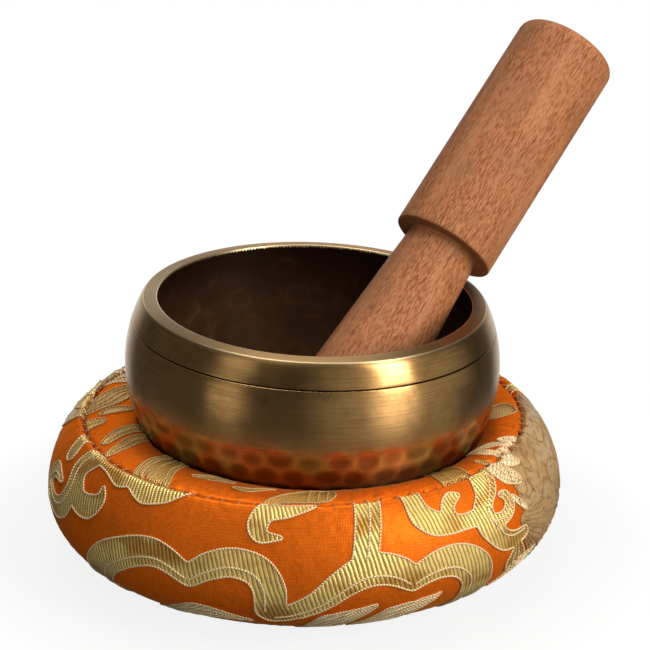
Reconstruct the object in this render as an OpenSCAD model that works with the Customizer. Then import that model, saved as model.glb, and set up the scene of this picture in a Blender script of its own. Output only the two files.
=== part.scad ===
// Singing bowl set: a bowl, its wooden striker and a round sewn cushion.
// The cushion stands on z = 0 around the Z axis. The bowl sinks into the cushion and leans a little
// towards +X, and the striker leans in the bowl, over the rim at the back on the right.

/* [Bowl] */
// Largest outside diameter of the bowl
bowl_d = 80; // [70:1:90]
// Height from the flat base to the outer edge of the rim
bowl_h = 37.5; // [32:0.5:46]
// Outside diameter of the rim
rim_d = 73; // [66:0.5:77]
// Diameter of the flat base
foot_d = 44; // [36:1:52]
// Height of the widest part above the base
belly_h = 23.5; // [18:0.5:28]
// Wall thickness at the widest part
wall_t = 3; // [2:0.1:4]
// Thickness of the floor
floor_t = 2; // [1.5:0.1:4]
// Width of the flat lip
lip_w = 3.1; // [2:0.1:4]
// How much higher the lip's inner edge is than its outer edge
lip_rise = 0.25; // [0:0.05:0.6]
// Drop of the turned groove below the rim
groove_drop = 5.2; // [3:0.1:9]
// Width of the turned groove
groove_w = 0.6; // [0.3:0.05:1.2]
// Depth of the turned groove
groove_depth = 0.35; // [0.15:0.05:0.8]
// Sideways lean of the bowl on its cushion, in degrees
bowl_lean = 2.2; // [0:0.1:4]
// Distance of the bowl's base from the cushion's middle, towards +X
bowl_shift = 1; // [-2:0.1:2]

/* [Striker] */
// Diameter of the head
head_d = 22.7; // [20:0.1:26]
// Length of the head from shoulder to end
head_l = 55.4; // [40:0.1:70]
// Rounding of the head's end
head_round = 2.4; // [1:0.1:4]
// Swell of the head's end face
head_dome = 1; // [0.2:0.1:2]
// Diameter of the handle at the shoulder
neck_d = 16; // [13:0.1:19]
// Diameter of the handle at its lower end
handle_end_d = 23.2; // [19:0.1:26]
// Length of the handle from shoulder to lower end
handle_l = 52.5; // [46:0.5:58]
// Rounding of the handle's lower end
handle_round = 1.5; // [0.5:0.1:3]
// Direction of the striker in plan, in degrees from +X towards +Y
striker_turn = 47.2; // [30:0.1:60]
// Distance by which the striker's axis passes the bowl's axis, to its right
striker_side = 12; // [0:0.1:14]
// Distance of the shoulder past the lip's inner edge, along the striker
shoulder_past_lip = 2.7; // [2:0.1:8]
// Clearance between the striker and the bowl where they rest on each other
rest_clear = 0.3; // [0.1:0.05:0.6]

/* [Cushion] */
// Largest diameter of the cushion
cushion_d = 110.5; // [104:0.5:120]
// Height of the crest beside the top seam
cushion_h = 29.6; // [28:0.1:33]
// Height of the widest part above the table
swell_h = 14.5; // [11:0.5:18]
// Width over which the side swells outwards
swell_w = 19.6; // [16:0.1:22]
// Diameter of the top seam
top_seam_d = 94; // [90:0.5:98]
// Diameter of the base seam
base_seam_d = 86; // [82:0.5:92]
// Thickness of the cloth
cloth_t = 0.8; // [0.5:0.05:1.2]
// Radius of the rolled cloth edges beside the top seam
roll_r = 1; // [0.9:0.05:1.4]
// Swell of the top panel between the bowl and the seam
crown = 0.8; // [0:0.1:2]
// Height of the bowl's base above the table
seat_h = 18.4; // [15:0.1:20]
// Height above the bowl's base at which the cushion leaves the bowl
seat_edge_h = 10; // [8:0.1:11.5]
// Clearance between the bowl and the top panel
seat_clear = 0.45; // [0.4:0.05:0.7]
// Clearance around the filling
pack_clear = 0.2; // [0.15:0.05:0.4]

/* [Seams] */
// Gap between the two cloth edges of a seam
seam_gap = 0.3; // [0.2:0.05:0.5]
// Diameter of the sewing thread
thread_d = 0.6; // [0.4:0.05:0.7]
// Length of one stitch
stitch_l = 2.2; // [1.2:0.1:2.6]
// Number of stitches in the top seam
top_stitches = 92; // [60:1:100]
// Number of stitches in the base seam
base_stitches = 84; // [60:1:90]
// Clearance between the thread and the cloth
thread_clear = 0.1; // [0.05:0.01:0.2]

/* [Hidden] */
$fn = 96;

// The bowl's outside and inside are ellipse quarters that start above the edge of the flat base
bowl_r = bowl_d / 2;
rim_r = rim_d / 2;
foot_r = foot_d / 2;
lip_in_r = rim_r - lip_w;
lip_in_z = bowl_h + lip_rise;
curve_steps = 12;

// The striker's radii
head_r = head_d / 2;
neck_r = neck_d / 2;
handle_end_r = handle_end_d / 2;

// The cushion's radii and the height of the rolled edges' centres
cushion_r = cushion_d / 2;
swell_core_r = cushion_r - swell_w;
top_seam_r = top_seam_d / 2;
base_seam_r = base_seam_d / 2;
roll_z = cushion_h - roll_r;
thread_r = thread_d / 2;

// Ring counts of the faceted cloth forms, and the directions of a ring's points
around = 32;
turns = [for (k = [0 : around - 1]) 360 * k / around];
seat_steps = 4;
crown_steps = 4;
roll_steps = 2;
swell_steps = 5;
thread_sides = 24;

// Height of an ellipse's vertical half axis that carries it through the point (r, z above its centre)
function half_height(r, z, core, half_width) = z / sqrt(1 - pow((r - core) / half_width, 2));

// Points of a bowl surface, from the edge of the flat base up to the rim
function bowl_curve(half_width, bottom_z, top_r, top_z) =
    let (
        low_b = belly_h - bottom_z,
        up_b = half_height(top_r, top_z - belly_h, foot_r, half_width),
        top_a = acos((top_r - foot_r) / half_width)
    )
    concat(
        [for (i = [0 : curve_steps])
            let (a = 90 * i / curve_steps)
            [foot_r + half_width * sin(a), belly_h - low_b * cos(a)]],
        [for (i = [1 : curve_steps])
            let (a = top_a * i / curve_steps)
            [foot_r + half_width * cos(a), belly_h + up_b * sin(a)]]
    );

function reversed(list) = [for (i = [len(list) - 1 : -1 : 0]) list[i]];

outer_curve = bowl_curve(bowl_r - foot_r, 0, rim_r, bowl_h);
inner_curve = bowl_curve(bowl_r - wall_t - foot_r, floor_t, lip_in_r, lip_in_z);

// Outside radius of the bowl at a height above its belly
function upper_outer_r(z) =
    let (b = half_height(rim_r, bowl_h - belly_h, foot_r, bowl_r - foot_r))
    foot_r + (bowl_r - foot_r) * sqrt(1 - pow((z - belly_h) / b, 2));

// The striker's own directions at a given rise: along it, across it and above it
function along(rise) = [cos(rise) * cos(striker_turn), cos(rise) * sin(striker_turn), sin(rise)];
function above(rise) = [-sin(rise) * cos(striker_turn), -sin(rise) * sin(striker_turn), cos(rise)];
across = [sin(striker_turn), -cos(striker_turn), 0];

// Radius of the striker at a distance s from its shoulder, which counts as head within the clearance
function striker_r(s) =
    s > -rest_clear ? head_r : neck_r + (handle_end_r - neck_r) * min(1, -s / handle_l);

// Rim points that the striker can rest on: the lip's two edges, on the side that it leans over
rim_step = 1.5;
rim_points = [
    for (a = [striker_turn - 90 : rim_step : striker_turn + 90])
        for (edge = [[lip_in_r, lip_in_z], [rim_r, bowl_h]])
            [edge[0] * cos(a), edge[0] * sin(a), edge[1]]
];

// The lip's inner edge below the striker's axis
lip_point = striker_side * across
    + sqrt(pow(lip_in_r, 2) - pow(striker_side, 2)) * along(0)
    + [0, 0, lip_in_z];

// Height of the axis over the lip, square to the axis, at which the striker just clears the rim
function rest_lift(rise) =
    let (shoulder = lip_point + shoulder_past_lip * along(rise))
    max([
        for (p = rim_points)
            let (
                q = p - shoulder,
                reach = striker_r(q * along(rise)) + rest_clear,
                x = q * across
            )
            abs(x) < reach ? q * above(rise) + sqrt(reach * reach - x * x) : 0
    ]);

// Centre of the striker's shoulder
function shoulder_at(rise) =
    lip_point + shoulder_past_lip * along(rise) + rest_lift(rise) * above(rise);

// Lowest point of the handle's rounded end
function handle_low(rise) =
    shoulder_at(rise)[2] - (handle_l - handle_round) * sin(rise)
        - (handle_end_r - handle_round) * cos(rise) - handle_round;

// Rise at which the handle's end comes down on the bowl's floor, found by halving
function find_rise(low, high, steps) =
    let (mid = (low + high) / 2)
    steps == 0 ? low :
    handle_low(mid) > floor_t + rest_clear ?
        find_rise(mid, high, steps - 1) :
        find_rise(low, mid, steps - 1);

least_rise = 15;
most_rise = 75;
halvings = 22;
striker_rise = find_rise(least_rise, most_rise, halvings);
shoulder = shoulder_at(striker_rise);

// Puts a piece of the bowl's frame on the cushion
module on_cushion() {
    translate([bowl_shift, 0, seat_h])
        rotate([0, bowl_lean, 0])
            children();
}

module bowl() {
    color("darkgoldenrod")
        on_cushion()
            difference() {
                rotate_extrude()
                    polygon(concat([[0, 0]], outer_curve, reversed(inner_curve), [[0, floor_t]]));
                groove_z = bowl_h - groove_drop;
                rotate_extrude()
                    translate([upper_outer_r(groove_z) - groove_depth, groove_z - groove_w / 2])
                        square([2 * groove_depth + groove_w, groove_w]);
            }
}

// Points of a rounded corner, between two angles
function arc(centre, r, from, to, steps) =
    [for (i = [0 : steps])
        let (a = from + (to - from) * i / steps)
        centre + r * [cos(a), sin(a)]];

module striker() {
    round_steps = 6;
    head_edge_a = 75;
    head_profile = concat(
        arc([head_r - head_round, head_l - head_dome - head_round], head_round, 0, head_edge_a, round_steps),
        [[0, head_l]]
    );
    handle_profile = concat(
        [[0, -handle_l]],
        arc([handle_end_r - handle_round, handle_round - handle_l], handle_round, -90, 0, round_steps)
    );
    color("sienna")
        on_cushion()
            translate(shoulder)
                rotate([0, 90 - striker_rise, striker_turn])
                    rotate_extrude()
                        polygon(concat(handle_profile, [[neck_r, 0], [head_r, 0]], head_profile));
}

// A point of the bowl's frame, seen from the table
function seated(p) = [
    bowl_shift + p[0] * cos(bowl_lean) + p[2] * sin(bowl_lean),
    p[1],
    seat_h - p[0] * sin(bowl_lean) + p[2] * cos(bowl_lean)
];

// Point of the dish below the bowl: a is the angle along the bowl's curve, depth the distance into the cushion
function dish_point(a, turn, depth) =
    let (
        half_w = bowl_r - foot_r,
        normal = [sin(a) / half_w, -cos(a) / belly_h],
        out = (seat_clear + depth) / norm(normal),
        r = foot_r + half_w * sin(a) + out * normal[0],
        z = belly_h * (1 - cos(a)) + out * normal[1]
    )
    seated([r * cos(turn), r * sin(turn), z]);

seat_edge_a = acos(1 - seat_edge_h / belly_h);

// Point of the rolled edge of the top panel, a degrees from the outward direction
function roll_point(a, turn, depth) =
    let (r = top_seam_r - seam_gap / 2 - roll_r + (roll_r - depth) * cos(a))
    [r * cos(turn), r * sin(turn), roll_z + (roll_r - depth) * sin(a)];

// Point of the crown between the bowl's edge (0) and the rolled edge (1)
function crown_point(share, turn, depth) =
    dish_point(seat_edge_a, turn, depth) * (1 - share)
        + roll_point(90, turn, depth) * share
        + [0, 0, crown * sin(180 * share)];

// Rings of the top panel from the middle outwards, at a depth below its upper face
function top_rings(depth) = concat(
    [for (i = [0 : seat_steps])
        [for (turn = turns) dish_point(seat_edge_a * i / seat_steps, turn, depth)]],
    [for (i = [1 : crown_steps])
        [for (turn = turns) crown_point(i / crown_steps, turn, depth)]],
    [for (i = [1 : roll_steps])
        [for (turn = turns) roll_point(90 * (1 - i / roll_steps), turn, depth)]]
);

// Closed solid through a list of rings of equal count, with a middle point at each end
module ring_solid(rings, first, last) {
    count = len(rings);
    points = concat([first], [for (ring = rings) each ring], [last]);
    sides = [
        for (j = [0 : count - 2])
            for (k = [0 : around - 1])
                let (
                    a = 1 + j * around + k,
                    b = 1 + j * around + (k + 1) % around
                )
                each [[a, b, a + around], [b, b + around, a + around]]
    ];
    starts = [for (k = [0 : around - 1]) [0, 1 + (k + 1) % around, 1 + k]];
    end = 1 + (count - 1) * around;
    ends = [for (k = [0 : around - 1]) [len(points) - 1, end + k, end + (k + 1) % around]];
    polyhedron(points = points, faces = concat(starts, sides, ends), convexity = 6);
}

// Middle of the dish at a depth below its upper face
function dish_middle(depth) = seated([0, 0, -seat_clear - depth]);

module cushion_top() {
    color("chocolate")
        ring_solid(
            concat(top_rings(0), reversed(top_rings(cloth_t))),
            dish_middle(0),
            dish_middle(cloth_t)
        );
}

// The band's rolled edge mirrors that of the top panel across the seam. The side's curve ends at an angle
// on the roll, and the roll's own arc starts a little further on
band_roll_r = top_seam_r + seam_gap / 2 + roll_r;
band_roll_a = 50;
band_blend_a = 20;
band_top = [band_roll_r, roll_z] + roll_r * [cos(band_roll_a), sin(band_roll_a)];
band_up_b = half_height(band_top[0], band_top[1] - swell_h, swell_core_r, swell_w);

// Point of the band's swelling side, a degrees from its widest place, at a depth below its outer face
function swell_point(a, depth) = [
    swell_core_r + (swell_w - depth) * cos(a),
    swell_h + ((a < 0 ? swell_h : band_up_b) - depth) * sin(a)
];

// Angle on the swelling side of a radius, at a depth
function swell_angle(r, depth) = acos((r - swell_core_r) / (swell_w - depth));

// Half section of the band at a depth, from the base seam up to the top seam
function band_curve(depth) =
    let (
        low_a = -swell_angle(base_seam_r + seam_gap / 2, depth),
        high_a = swell_angle(band_top[0], depth),
        steps = 3 * curve_steps
    )
    concat(
        [for (i = [0 : steps]) swell_point(low_a + (high_a - low_a) * i / steps, depth)],
        arc([band_roll_r, roll_z], roll_r - depth, band_roll_a + band_blend_a, 180, curve_steps)
    );

module cushion_band() {
    color("darkorange")
        rotate_extrude()
            polygon(concat(band_curve(0), reversed(band_curve(cloth_t))));
}

module cushion_base() {
    edge_r = base_seam_r - seam_gap / 2;
    color("peru")
        cylinder(h = cloth_t, r = edge_r);
}

module cushion_filling() {
    depth = cloth_t + pack_clear;
    low_z = cloth_t + pack_clear;
    low_a = -asin((swell_h - low_z) / (swell_h - depth));
    high_a = swell_angle(band_roll_r + roll_r, depth);
    seam_ring_z = roll_z - pack_clear - cloth_t;
    function ring(r, z) = [for (turn = turns) [r * cos(turn), r * sin(turn), z]];
    tops = [
        for (i = [0 : seat_steps])
            [for (turn = turns) dish_point(seat_edge_a * i / seat_steps, turn, depth)]
    ];
    crowns = [
        for (i = [1 : crown_steps - 1])
            [for (turn = turns) crown_point(i / crown_steps, turn, depth)]
    ];
    sides = [
        for (i = [0 : swell_steps])
            let (p = swell_point(high_a + (low_a - high_a) * i / swell_steps, depth))
            ring(p[0], p[1])
    ];
    color("linen")
        ring_solid(
            concat(tops, crowns, [ring(top_seam_r, seam_ring_z)], sides),
            dish_middle(depth),
            [0, 0, low_z]
        );
}

// A ring of separate straight stitches
module stitch_ring(count, r, z) {
    for (i = [0 : count - 1])
        rotate([0, 0, 360 * i / count])
            translate([r, stitch_l / 2, z])
                rotate([90, 0, 0])
                    cylinder(h = stitch_l, r = thread_r, $fn = thread_sides);
}

module top_seam_thread() {
    clear_r = roll_r + thread_r + thread_clear;
    lift = sqrt(pow(clear_r, 2) - pow(roll_r + seam_gap / 2, 2));
    color("saddlebrown")
        stitch_ring(top_stitches, top_seam_r, roll_z + lift);
}

module base_seam_thread() {
    r = base_seam_r - seam_gap / 2 + thread_clear + thread_r;
    color("saddlebrown")
        stitch_ring(base_stitches, r, thread_r + thread_clear);
}

bowl();
striker();
cushion_top();
cushion_band();
cushion_base();
cushion_filling();
top_seam_thread();
base_seam_thread();
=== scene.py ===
"""Looks of a singing bowl set: a hammered bowl, its turned striker and a round brocade cushion.

The classes hold their sizes in millimetres, and the finished meshes are in metres.
Turns are angles around the cushion, from the front towards the right.
"""

import logging
import math
from collections.abc import Sequence
from dataclasses import asdict, dataclass, field, replace
from enum import Enum

import bpy
import numpy as np
from mathutils import Matrix, Vector


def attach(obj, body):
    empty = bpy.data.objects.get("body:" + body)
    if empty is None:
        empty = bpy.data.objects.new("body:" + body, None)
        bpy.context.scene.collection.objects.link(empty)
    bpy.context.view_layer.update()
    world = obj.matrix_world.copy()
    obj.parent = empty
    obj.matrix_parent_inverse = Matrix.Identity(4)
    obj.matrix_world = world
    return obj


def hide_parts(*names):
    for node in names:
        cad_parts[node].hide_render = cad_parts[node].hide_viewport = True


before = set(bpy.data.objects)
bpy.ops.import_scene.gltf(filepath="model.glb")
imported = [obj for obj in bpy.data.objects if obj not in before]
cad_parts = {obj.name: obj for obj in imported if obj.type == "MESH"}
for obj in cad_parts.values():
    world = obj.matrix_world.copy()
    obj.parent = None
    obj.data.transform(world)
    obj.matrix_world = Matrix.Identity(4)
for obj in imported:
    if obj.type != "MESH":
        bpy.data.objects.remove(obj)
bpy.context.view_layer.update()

MM = 0.001
FULL_TURN = 2 * math.pi
TINY = 1e-9
TOP_STITCHES = 92
BASE_STITCHES = 84
FLAT_MAP = "flat_cloth"
TURNED = "turned_place"
UP = np.array([0.0, 0.0, 1.0])
Array = np.ndarray
Socket = bpy.types.NodeSocket
Material = bpy.types.Material
Point = tuple[float, float]
Triple = tuple[float, float, float]
Colour = Triple
log = logging.getLogger("singing_bowl_set")


class Body(Enum):
    """Bodies of the frame that the pieces ride on."""

    BOWL = "bowl"
    STRIKER = "striker"
    CUSHION = "cushion"


class Slot(Enum):
    """Names of material slots that the pieces are built with; nothing reads them."""

    BOWL_METAL = "bowl_metal"
    STRIKER_WOOD = "striker_wood"
    BROCADE = "brocade"
    BASE_CLOTH = "base_cloth"
    THREAD = "thread"


class Value:
    """A number socket of a shader, which takes part in sums as a number does."""

    def __init__(self, graph: "Graph", socket: Socket) -> None:
        """Wraps an output socket of the graph."""
        self.graph = graph
        self.socket = socket

    def __add__(self, other: "Value | float") -> "Value":
        """Sum."""
        return self.graph.math("ADD", self, other)

    def __radd__(self, other: float) -> "Value":
        """Sum with a number on the left."""
        return self.graph.math("ADD", other, self)

    def __sub__(self, other: "Value | float") -> "Value":
        """Difference."""
        return self.graph.math("SUBTRACT", self, other)

    def __rsub__(self, other: float) -> "Value":
        """Difference from a number on the left."""
        return self.graph.math("SUBTRACT", other, self)

    def __mul__(self, other: "Value | float") -> "Value":
        """Product."""
        return self.graph.math("MULTIPLY", self, other)

    def __rmul__(self, other: float) -> "Value":
        """Product with a number on the left."""
        return self.graph.math("MULTIPLY", other, self)

    def sine(self) -> "Value":
        """Sine of the value in radians."""
        return self.graph.math("SINE", self)

    def wave(self, pitch: float) -> "Value":
        """Wave between 0 and 1 that repeats with the pitch."""
        return (self * (FULL_TURN / pitch)).sine() * 0.5 + 0.5

    def most(self, other: "Value | float") -> "Value":
        """The larger of two values."""
        return self.graph.math("MAXIMUM", self, other)

    def step(self, low: float, high: float) -> "Value":
        """Smooth step from 0 at low to 1 at high, or back where low is the larger."""
        if low > high:
            return 1 - self.step(high, low)
        node = self.graph.node(
            "MapRange",
            {"interpolation_type": "SMOOTHSTEP"},
            {"Value": self, "From Min": low, "From Max": high},
        )
        return Value(self.graph, node.outputs["Result"])


class Graph:
    """Node tree of a material or of the world."""

    def __init__(self, tree: bpy.types.NodeTree) -> None:
        """Wraps the tree."""
        self.tree = tree

    def node(self, kind: str, settings: dict | None = None, inputs: dict | None = None) -> bpy.types.Node:
        """Adds a node.

        Args:
            kind: node type without its ShaderNode prefix.
            settings: properties that are set first.
            inputs: values or links of sockets, by name or by place.

        Returns:
            The new node.
        """
        made = self.tree.nodes.new(f"ShaderNode{kind}")
        for name, value in (settings or {}).items():
            setattr(made, name, value)
        for name, value in (inputs or {}).items():
            self.feed(made, name, value)
        return made

    def feed(self, node: bpy.types.Node, name: str | int, value: object) -> None:
        """Links a socket, or sets it where the value is plain.

        Args:
            node: node whose input is meant.
            name: socket name, or its place where names repeat.
            value: wrapped value, socket, number, colour or vector.
        """
        if isinstance(name, int):
            socket = node.inputs[name]
        else:
            socket = next(s for s in node.inputs if s.name == name and s.enabled)
        if isinstance(value, Value):
            self.tree.links.new(value.socket, socket)
        elif isinstance(value, Socket):
            self.tree.links.new(value, socket)
        elif socket.type == "RGBA" and len(value) == 3:
            socket.default_value = (*value, 1.0)
        else:
            socket.default_value = value

    def math(self, operation: str, *terms: Value | float) -> Value:
        """Result of a Math node with the operation's name and its terms in order."""
        node = self.node("Math", {"operation": operation}, dict(enumerate(terms)))
        return Value(self, node.outputs[0])

    def mix(self, share: Value | float, first: object, second: object) -> Socket:
        """Socket of the first colour with a share of the second mixed in."""
        node = self.node("Mix", {"data_type": "RGBA"}, {"Factor": share, "A": first, "B": second})
        return next(s for s in node.outputs if s.enabled)

    def layered(self, base: Colour, *layers: tuple[Value, object]) -> Socket:
        """Colour with others mixed over it in order, each with its share."""
        for share, colour in layers:
            base = self.mix(share, base, colour)
        return base

    def scaled(self, vector: Socket, by: Triple) -> Socket:
        """Vector multiplied part by part."""
        return self.node("VectorMath", {"operation": "MULTIPLY"}, {0: vector, 1: by}).outputs["Vector"]

    def towards(self, vector: Socket, side: Triple) -> Value:
        """How far a vector points to one side."""
        node = self.node("VectorMath", {"operation": "DOT_PRODUCT"}, {0: vector, 1: side})
        return Value(self, node.outputs["Value"])

    def own_place(self) -> Socket:
        """Coordinates in the piece's own axes, in metres."""
        return self.node("TexCoord").outputs["Object"]

    def turned_place(self) -> Socket:
        """Coordinates in the axes that a piece was turned around, in metres."""
        return self.node("Attribute", {"attribute_name": TURNED}).outputs["Vector"]

    def flat_cloth(self) -> tuple[Value, Value]:
        """The two coordinates of the flat cloth, in millimetres."""
        flat = self.node("UVMap", {"uv_map": FLAT_MAP}).outputs["UV"]
        parts = self.node("SeparateXYZ", {}, {"Vector": flat})
        return Value(self, parts.outputs["X"]), Value(self, parts.outputs["Y"])

    def vector(self, x: Value | float, y: Value | float, z: Value | float) -> Socket:
        """Vector made of three values."""
        return self.node("CombineXYZ", {}, {"X": x, "Y": y, "Z": z}).outputs["Vector"]

    def painted(self, name: str) -> Value:
        """Value of a mesh attribute."""
        node = self.node("Attribute", {"attribute_name": name})
        return Value(self, node.outputs["Fac"])

    def noise(self, place: Socket, scale: float, detail: float, rough: float) -> Value:
        """Noise between 0 and 1, with a number of finer layers and their strength."""
        node = self.node(
            "TexNoise", {}, {"Vector": place, "Scale": scale, "Detail": detail, "Roughness": rough}
        )
        return Value(self, node.outputs["Fac"])

    def spots(self, place: Socket, size: float, detail: float, rough: float) -> Value:
        """Noise over coordinates in metres, with spots of a size in millimetres."""
        return self.noise(place, 1.0 / (size * MM), detail, rough)

    def cloth_noise(self, scale: Point, layer: float, detail: float, rough: float) -> Value:
        """Noise over the flat cloth, by repeats for each millimetre; a layer sets it apart from others."""
        across, along = self.flat_cloth()
        return self.noise(self.vector(across * scale[0], along * scale[1], layer), 1.0, detail, rough)

    def bump(self, height: Value, depth_mm: float, strength: float) -> Socket:
        """Normal of a relief between 0 and 1, with its full depth and how much of it shows."""
        node = self.node("Bump", {}, {"Height": height, "Distance": depth_mm * MM, "Strength": strength})
        return node.outputs["Normal"]


class Shader(Graph):
    """One material around its Principled shader."""

    def __init__(self, name: str) -> None:
        """Starts a material with that name."""
        self.material = bpy.data.materials.new(name)
        self.material.use_nodes = True
        super().__init__(self.material.node_tree)
        self.surface = self.tree.nodes["Principled BSDF"]

    def dress(self, **sockets: object) -> Material:
        """Feeds the Principled shader, whose sockets are named with underscores for spaces."""
        for name, value in sockets.items():
            self.feed(self.surface, name.replace("_", " "), value)
        return self.material


@dataclass(frozen=True)
class AgedBrass:
    """Bowl metal: turned and brushed above, hammered and coppery below, dark inside; with painted shade in
    the groove and towards the cushion, bright edges that are partly wear and partly painted highlight, and
    painted light deep inside.
    """

    turned: Colour = (0.57, 0.325, 0.118)
    stained: Colour = (0.30, 0.16, 0.055)
    hammered: Colour = (0.53, 0.335, 0.10)
    dimple: Colour = (0.235, 0.12, 0.036)
    # Painted shade: near black-brown for the hammered zone towards the cushion, standing in for the shaded
    # cloth that the metal mirrors there.
    contact_shade: Colour = (0.125, 0.068, 0.028)
    # Painted shade in the turned groove.
    groove: Colour = (0.05, 0.03, 0.014)
    lip: Colour = (0.30, 0.185, 0.08)
    # Bright edge colour: partly wear, and on the lip's bevels and the groove's lower edge partly a painted
    # highlight.
    worn_edge_and_highlight: Colour = (0.80, 0.62, 0.34)
    inside: Colour = (0.024, 0.010, 0.0045)
    # Painted light: a lighter brown mixed in deep inside, where the lamps leave the lower walls in shade.
    deep: Colour = (0.14, 0.066, 0.026)
    brush_pitch: float = 0.3
    brush_stretch: float = 70.0
    stain_size: float = 9.0
    speck_size: float = 0.5
    scratch_depth: float = 0.014

    def material(self) -> Material:
        """Builds the material."""
        shader = Shader("aged_brass")
        place = shader.turned_place()
        stretch = (self.brush_stretch, self.brush_stretch, 1.0 / (self.brush_pitch * MM))
        brushing = shader.noise(shader.scaled(place, stretch), 1.0, 3.0, 0.65)
        stains = shader.spots(place, self.stain_size, 4.0, 0.62)
        specks = shader.spots(place, self.speck_size, 2.0, 0.7)
        names = ("hammered", "dimple", "lip", "edge", "inside", "low", "depth", "groove")
        below, dimple, lip, edge, inside, low, depth, groove = map(shader.painted, names)
        # Towards the bottom the hammered colour takes painted shade, for the dark reflection of the shaded
        # cloth near the cushion.
        copper = shader.layered(
            self.hammered,
            (dimple.step(0.0, 0.7) * 0.85, self.dimple),
            (low * 0.7, self.contact_shade),
        )
        # Painted highlight, with some wear: lighter rims of the inner hammer marks, in stained patches.
        rim_wear_and_highlight = dimple.step(0.0, 0.25) * dimple.step(0.75, 0.25) * stains.step(0.45, 0.62) * 0.22
        colour = shader.layered(
            self.turned,
            (stains.step(0.42, 0.72) * 0.75, self.stained),
            (brushing.step(0.42, 0.68) * 0.45, self.stained),
            (below, copper),
            (lip * 0.85, self.lip),
            # Inside: dark metal, painted lighter towards the floor and on the rims of the marks, mixed with
            # stains.
            (inside, shader.mix(depth * (0.2 + stains) + rim_wear_and_highlight, self.inside, self.deep)),
            # Painted shade in the groove.
            (groove, self.groove),
            # Bright edges: partly wear and partly painted highlight.
            (edge, self.worn_edge_and_highlight),
            (specks.step(0.70, 0.82) * 0.3, self.worn_edge_and_highlight),
        )
        rough = 0.17 + stains * 0.09 + brushing * 0.08 + below * 0.09 + lip * 0.14 + inside * 0.28
        relief = brushing * (1 - below) * 0.8 + specks * 0.3
        return shader.dress(
            Base_Color=colour,
            Metallic=1 - inside * 0.7,
            Roughness=rough,
            Specular_IOR_Level=0.12,
            Anisotropic=0.8,
            Anisotropic_Rotation=0.25,
            Normal=shader.bump(relief, self.scratch_depth, 0.5),
        )


@dataclass(frozen=True)
class RedHardwood:
    """Striker wood: reddish brown, with fine fibres, soft streaks and dark pores along the grain."""

    pale: Colour = (0.435, 0.178, 0.075)
    dark: Colour = (0.225, 0.070, 0.024)
    blush: Colour = (0.50, 0.225, 0.105)
    grey: Colour = (0.29, 0.128, 0.064)
    pore: Colour = (0.095, 0.027, 0.010)
    # Darker colour on the shoulder under the head.
    scorched: Colour = (0.29, 0.115, 0.044)
    fibre_width: float = 0.30
    fibre_length: float = 1.5
    pore_width: float = 0.26
    pore_length: float = 9.0
    streak_width: float = 4.0
    streak_length: float = 28.0
    bloom_size: float = 11.0
    relief_depth: float = 0.08

    def _grain(self, shader: Shader, width: float, length: float, detail: float) -> Value:
        """Noise that is drawn out along the stick."""
        fine = 1.0 / (width * MM)
        place = shader.scaled(shader.turned_place(), (fine, fine, 1.0 / (length * MM)))
        return shader.noise(place, 1.0, detail, 0.6)

    def material(self) -> Material:
        """Builds the material."""
        shader = Shader("red_hardwood")
        fibres = self._grain(shader, self.fibre_width, self.fibre_length, 4.0)
        pores = self._grain(shader, self.pore_width, self.pore_length, 1.0)
        streaks = self._grain(shader, self.streak_width, self.streak_length, 3.0)
        bloom = shader.spots(shader.turned_place(), self.bloom_size, 3.0, 0.55)
        pore = pores.step(0.65, 0.71)
        colour = shader.layered(
            self.pale,
            (fibres.step(0.40, 0.62), self.dark),
            (streaks.step(0.44, 0.68) * 0.5, self.blush),
            (bloom.step(0.48, 0.70) * 0.5, self.grey),
            (pore * 0.7, self.pore),
            # Darker colour painted on the shoulder under the head.
            (shader.painted("scorch") * (0.7 + fibres * 0.4), self.scorched),
        )
        return shader.dress(
            Base_Color=colour,
            Roughness=0.55 + streaks * 0.15,
            Specular_IOR_Level=0.15,
            Normal=shader.bump(1 - fibres * 0.5 - pore * 0.5, self.relief_depth, 0.8),
        )


@dataclass(frozen=True)
class OrangeSatin:
    """Ground of the brocade: orange satin with a fine grid of threads."""

    name: str = "orange_satin"
    deep: Colour = (0.52, 0.078, 0.005)
    bright: Colour = (0.95, 0.205, 0.013)
    warp_pitch: float = 0.57
    weft_pitch: float = 0.64
    warp_slant: float = 0.22
    cloud_size: float = 22.0
    relief_depth: float = 0.08

    def material(self) -> Material:
        """Builds the material."""
        shader = Shader(self.name)
        across, along = shader.flat_cloth()
        stray = shader.cloth_noise((0.6, 0.6), 5.0, 1.0, 0.5)
        warp = (across + along * self.warp_slant + stray * 0.5).wave(self.warp_pitch)
        weft = (along + stray * 0.5).wave(self.weft_pitch)
        grid = warp * 0.55 + weft * 0.45
        slubs = shader.cloth_noise((1.1, 1.1), 0.0, 2.0, 0.6)
        soft = shader.spots(shader.own_place(), self.cloud_size, 2.0, 0.5)
        share = grid * 0.32 + slubs * 0.8 + soft * 0.3 - 0.22
        relief = grid * 0.6 + slubs * 0.4
        return shader.dress(
            Base_Color=shader.mix(share, self.deep, self.bright),
            Metallic=0.48,
            Roughness=0.36 + slubs * 0.12,
            IOR=1.0,
            Specular_Tint=(1.0, 0.6, 0.25),
            Sheen_Weight=0.12,
            Sheen_Roughness=0.35,
            Sheen_Tint=(1.0, 0.6, 0.18),
            Normal=shader.bump(relief, self.relief_depth, 0.5),
        )


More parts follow.
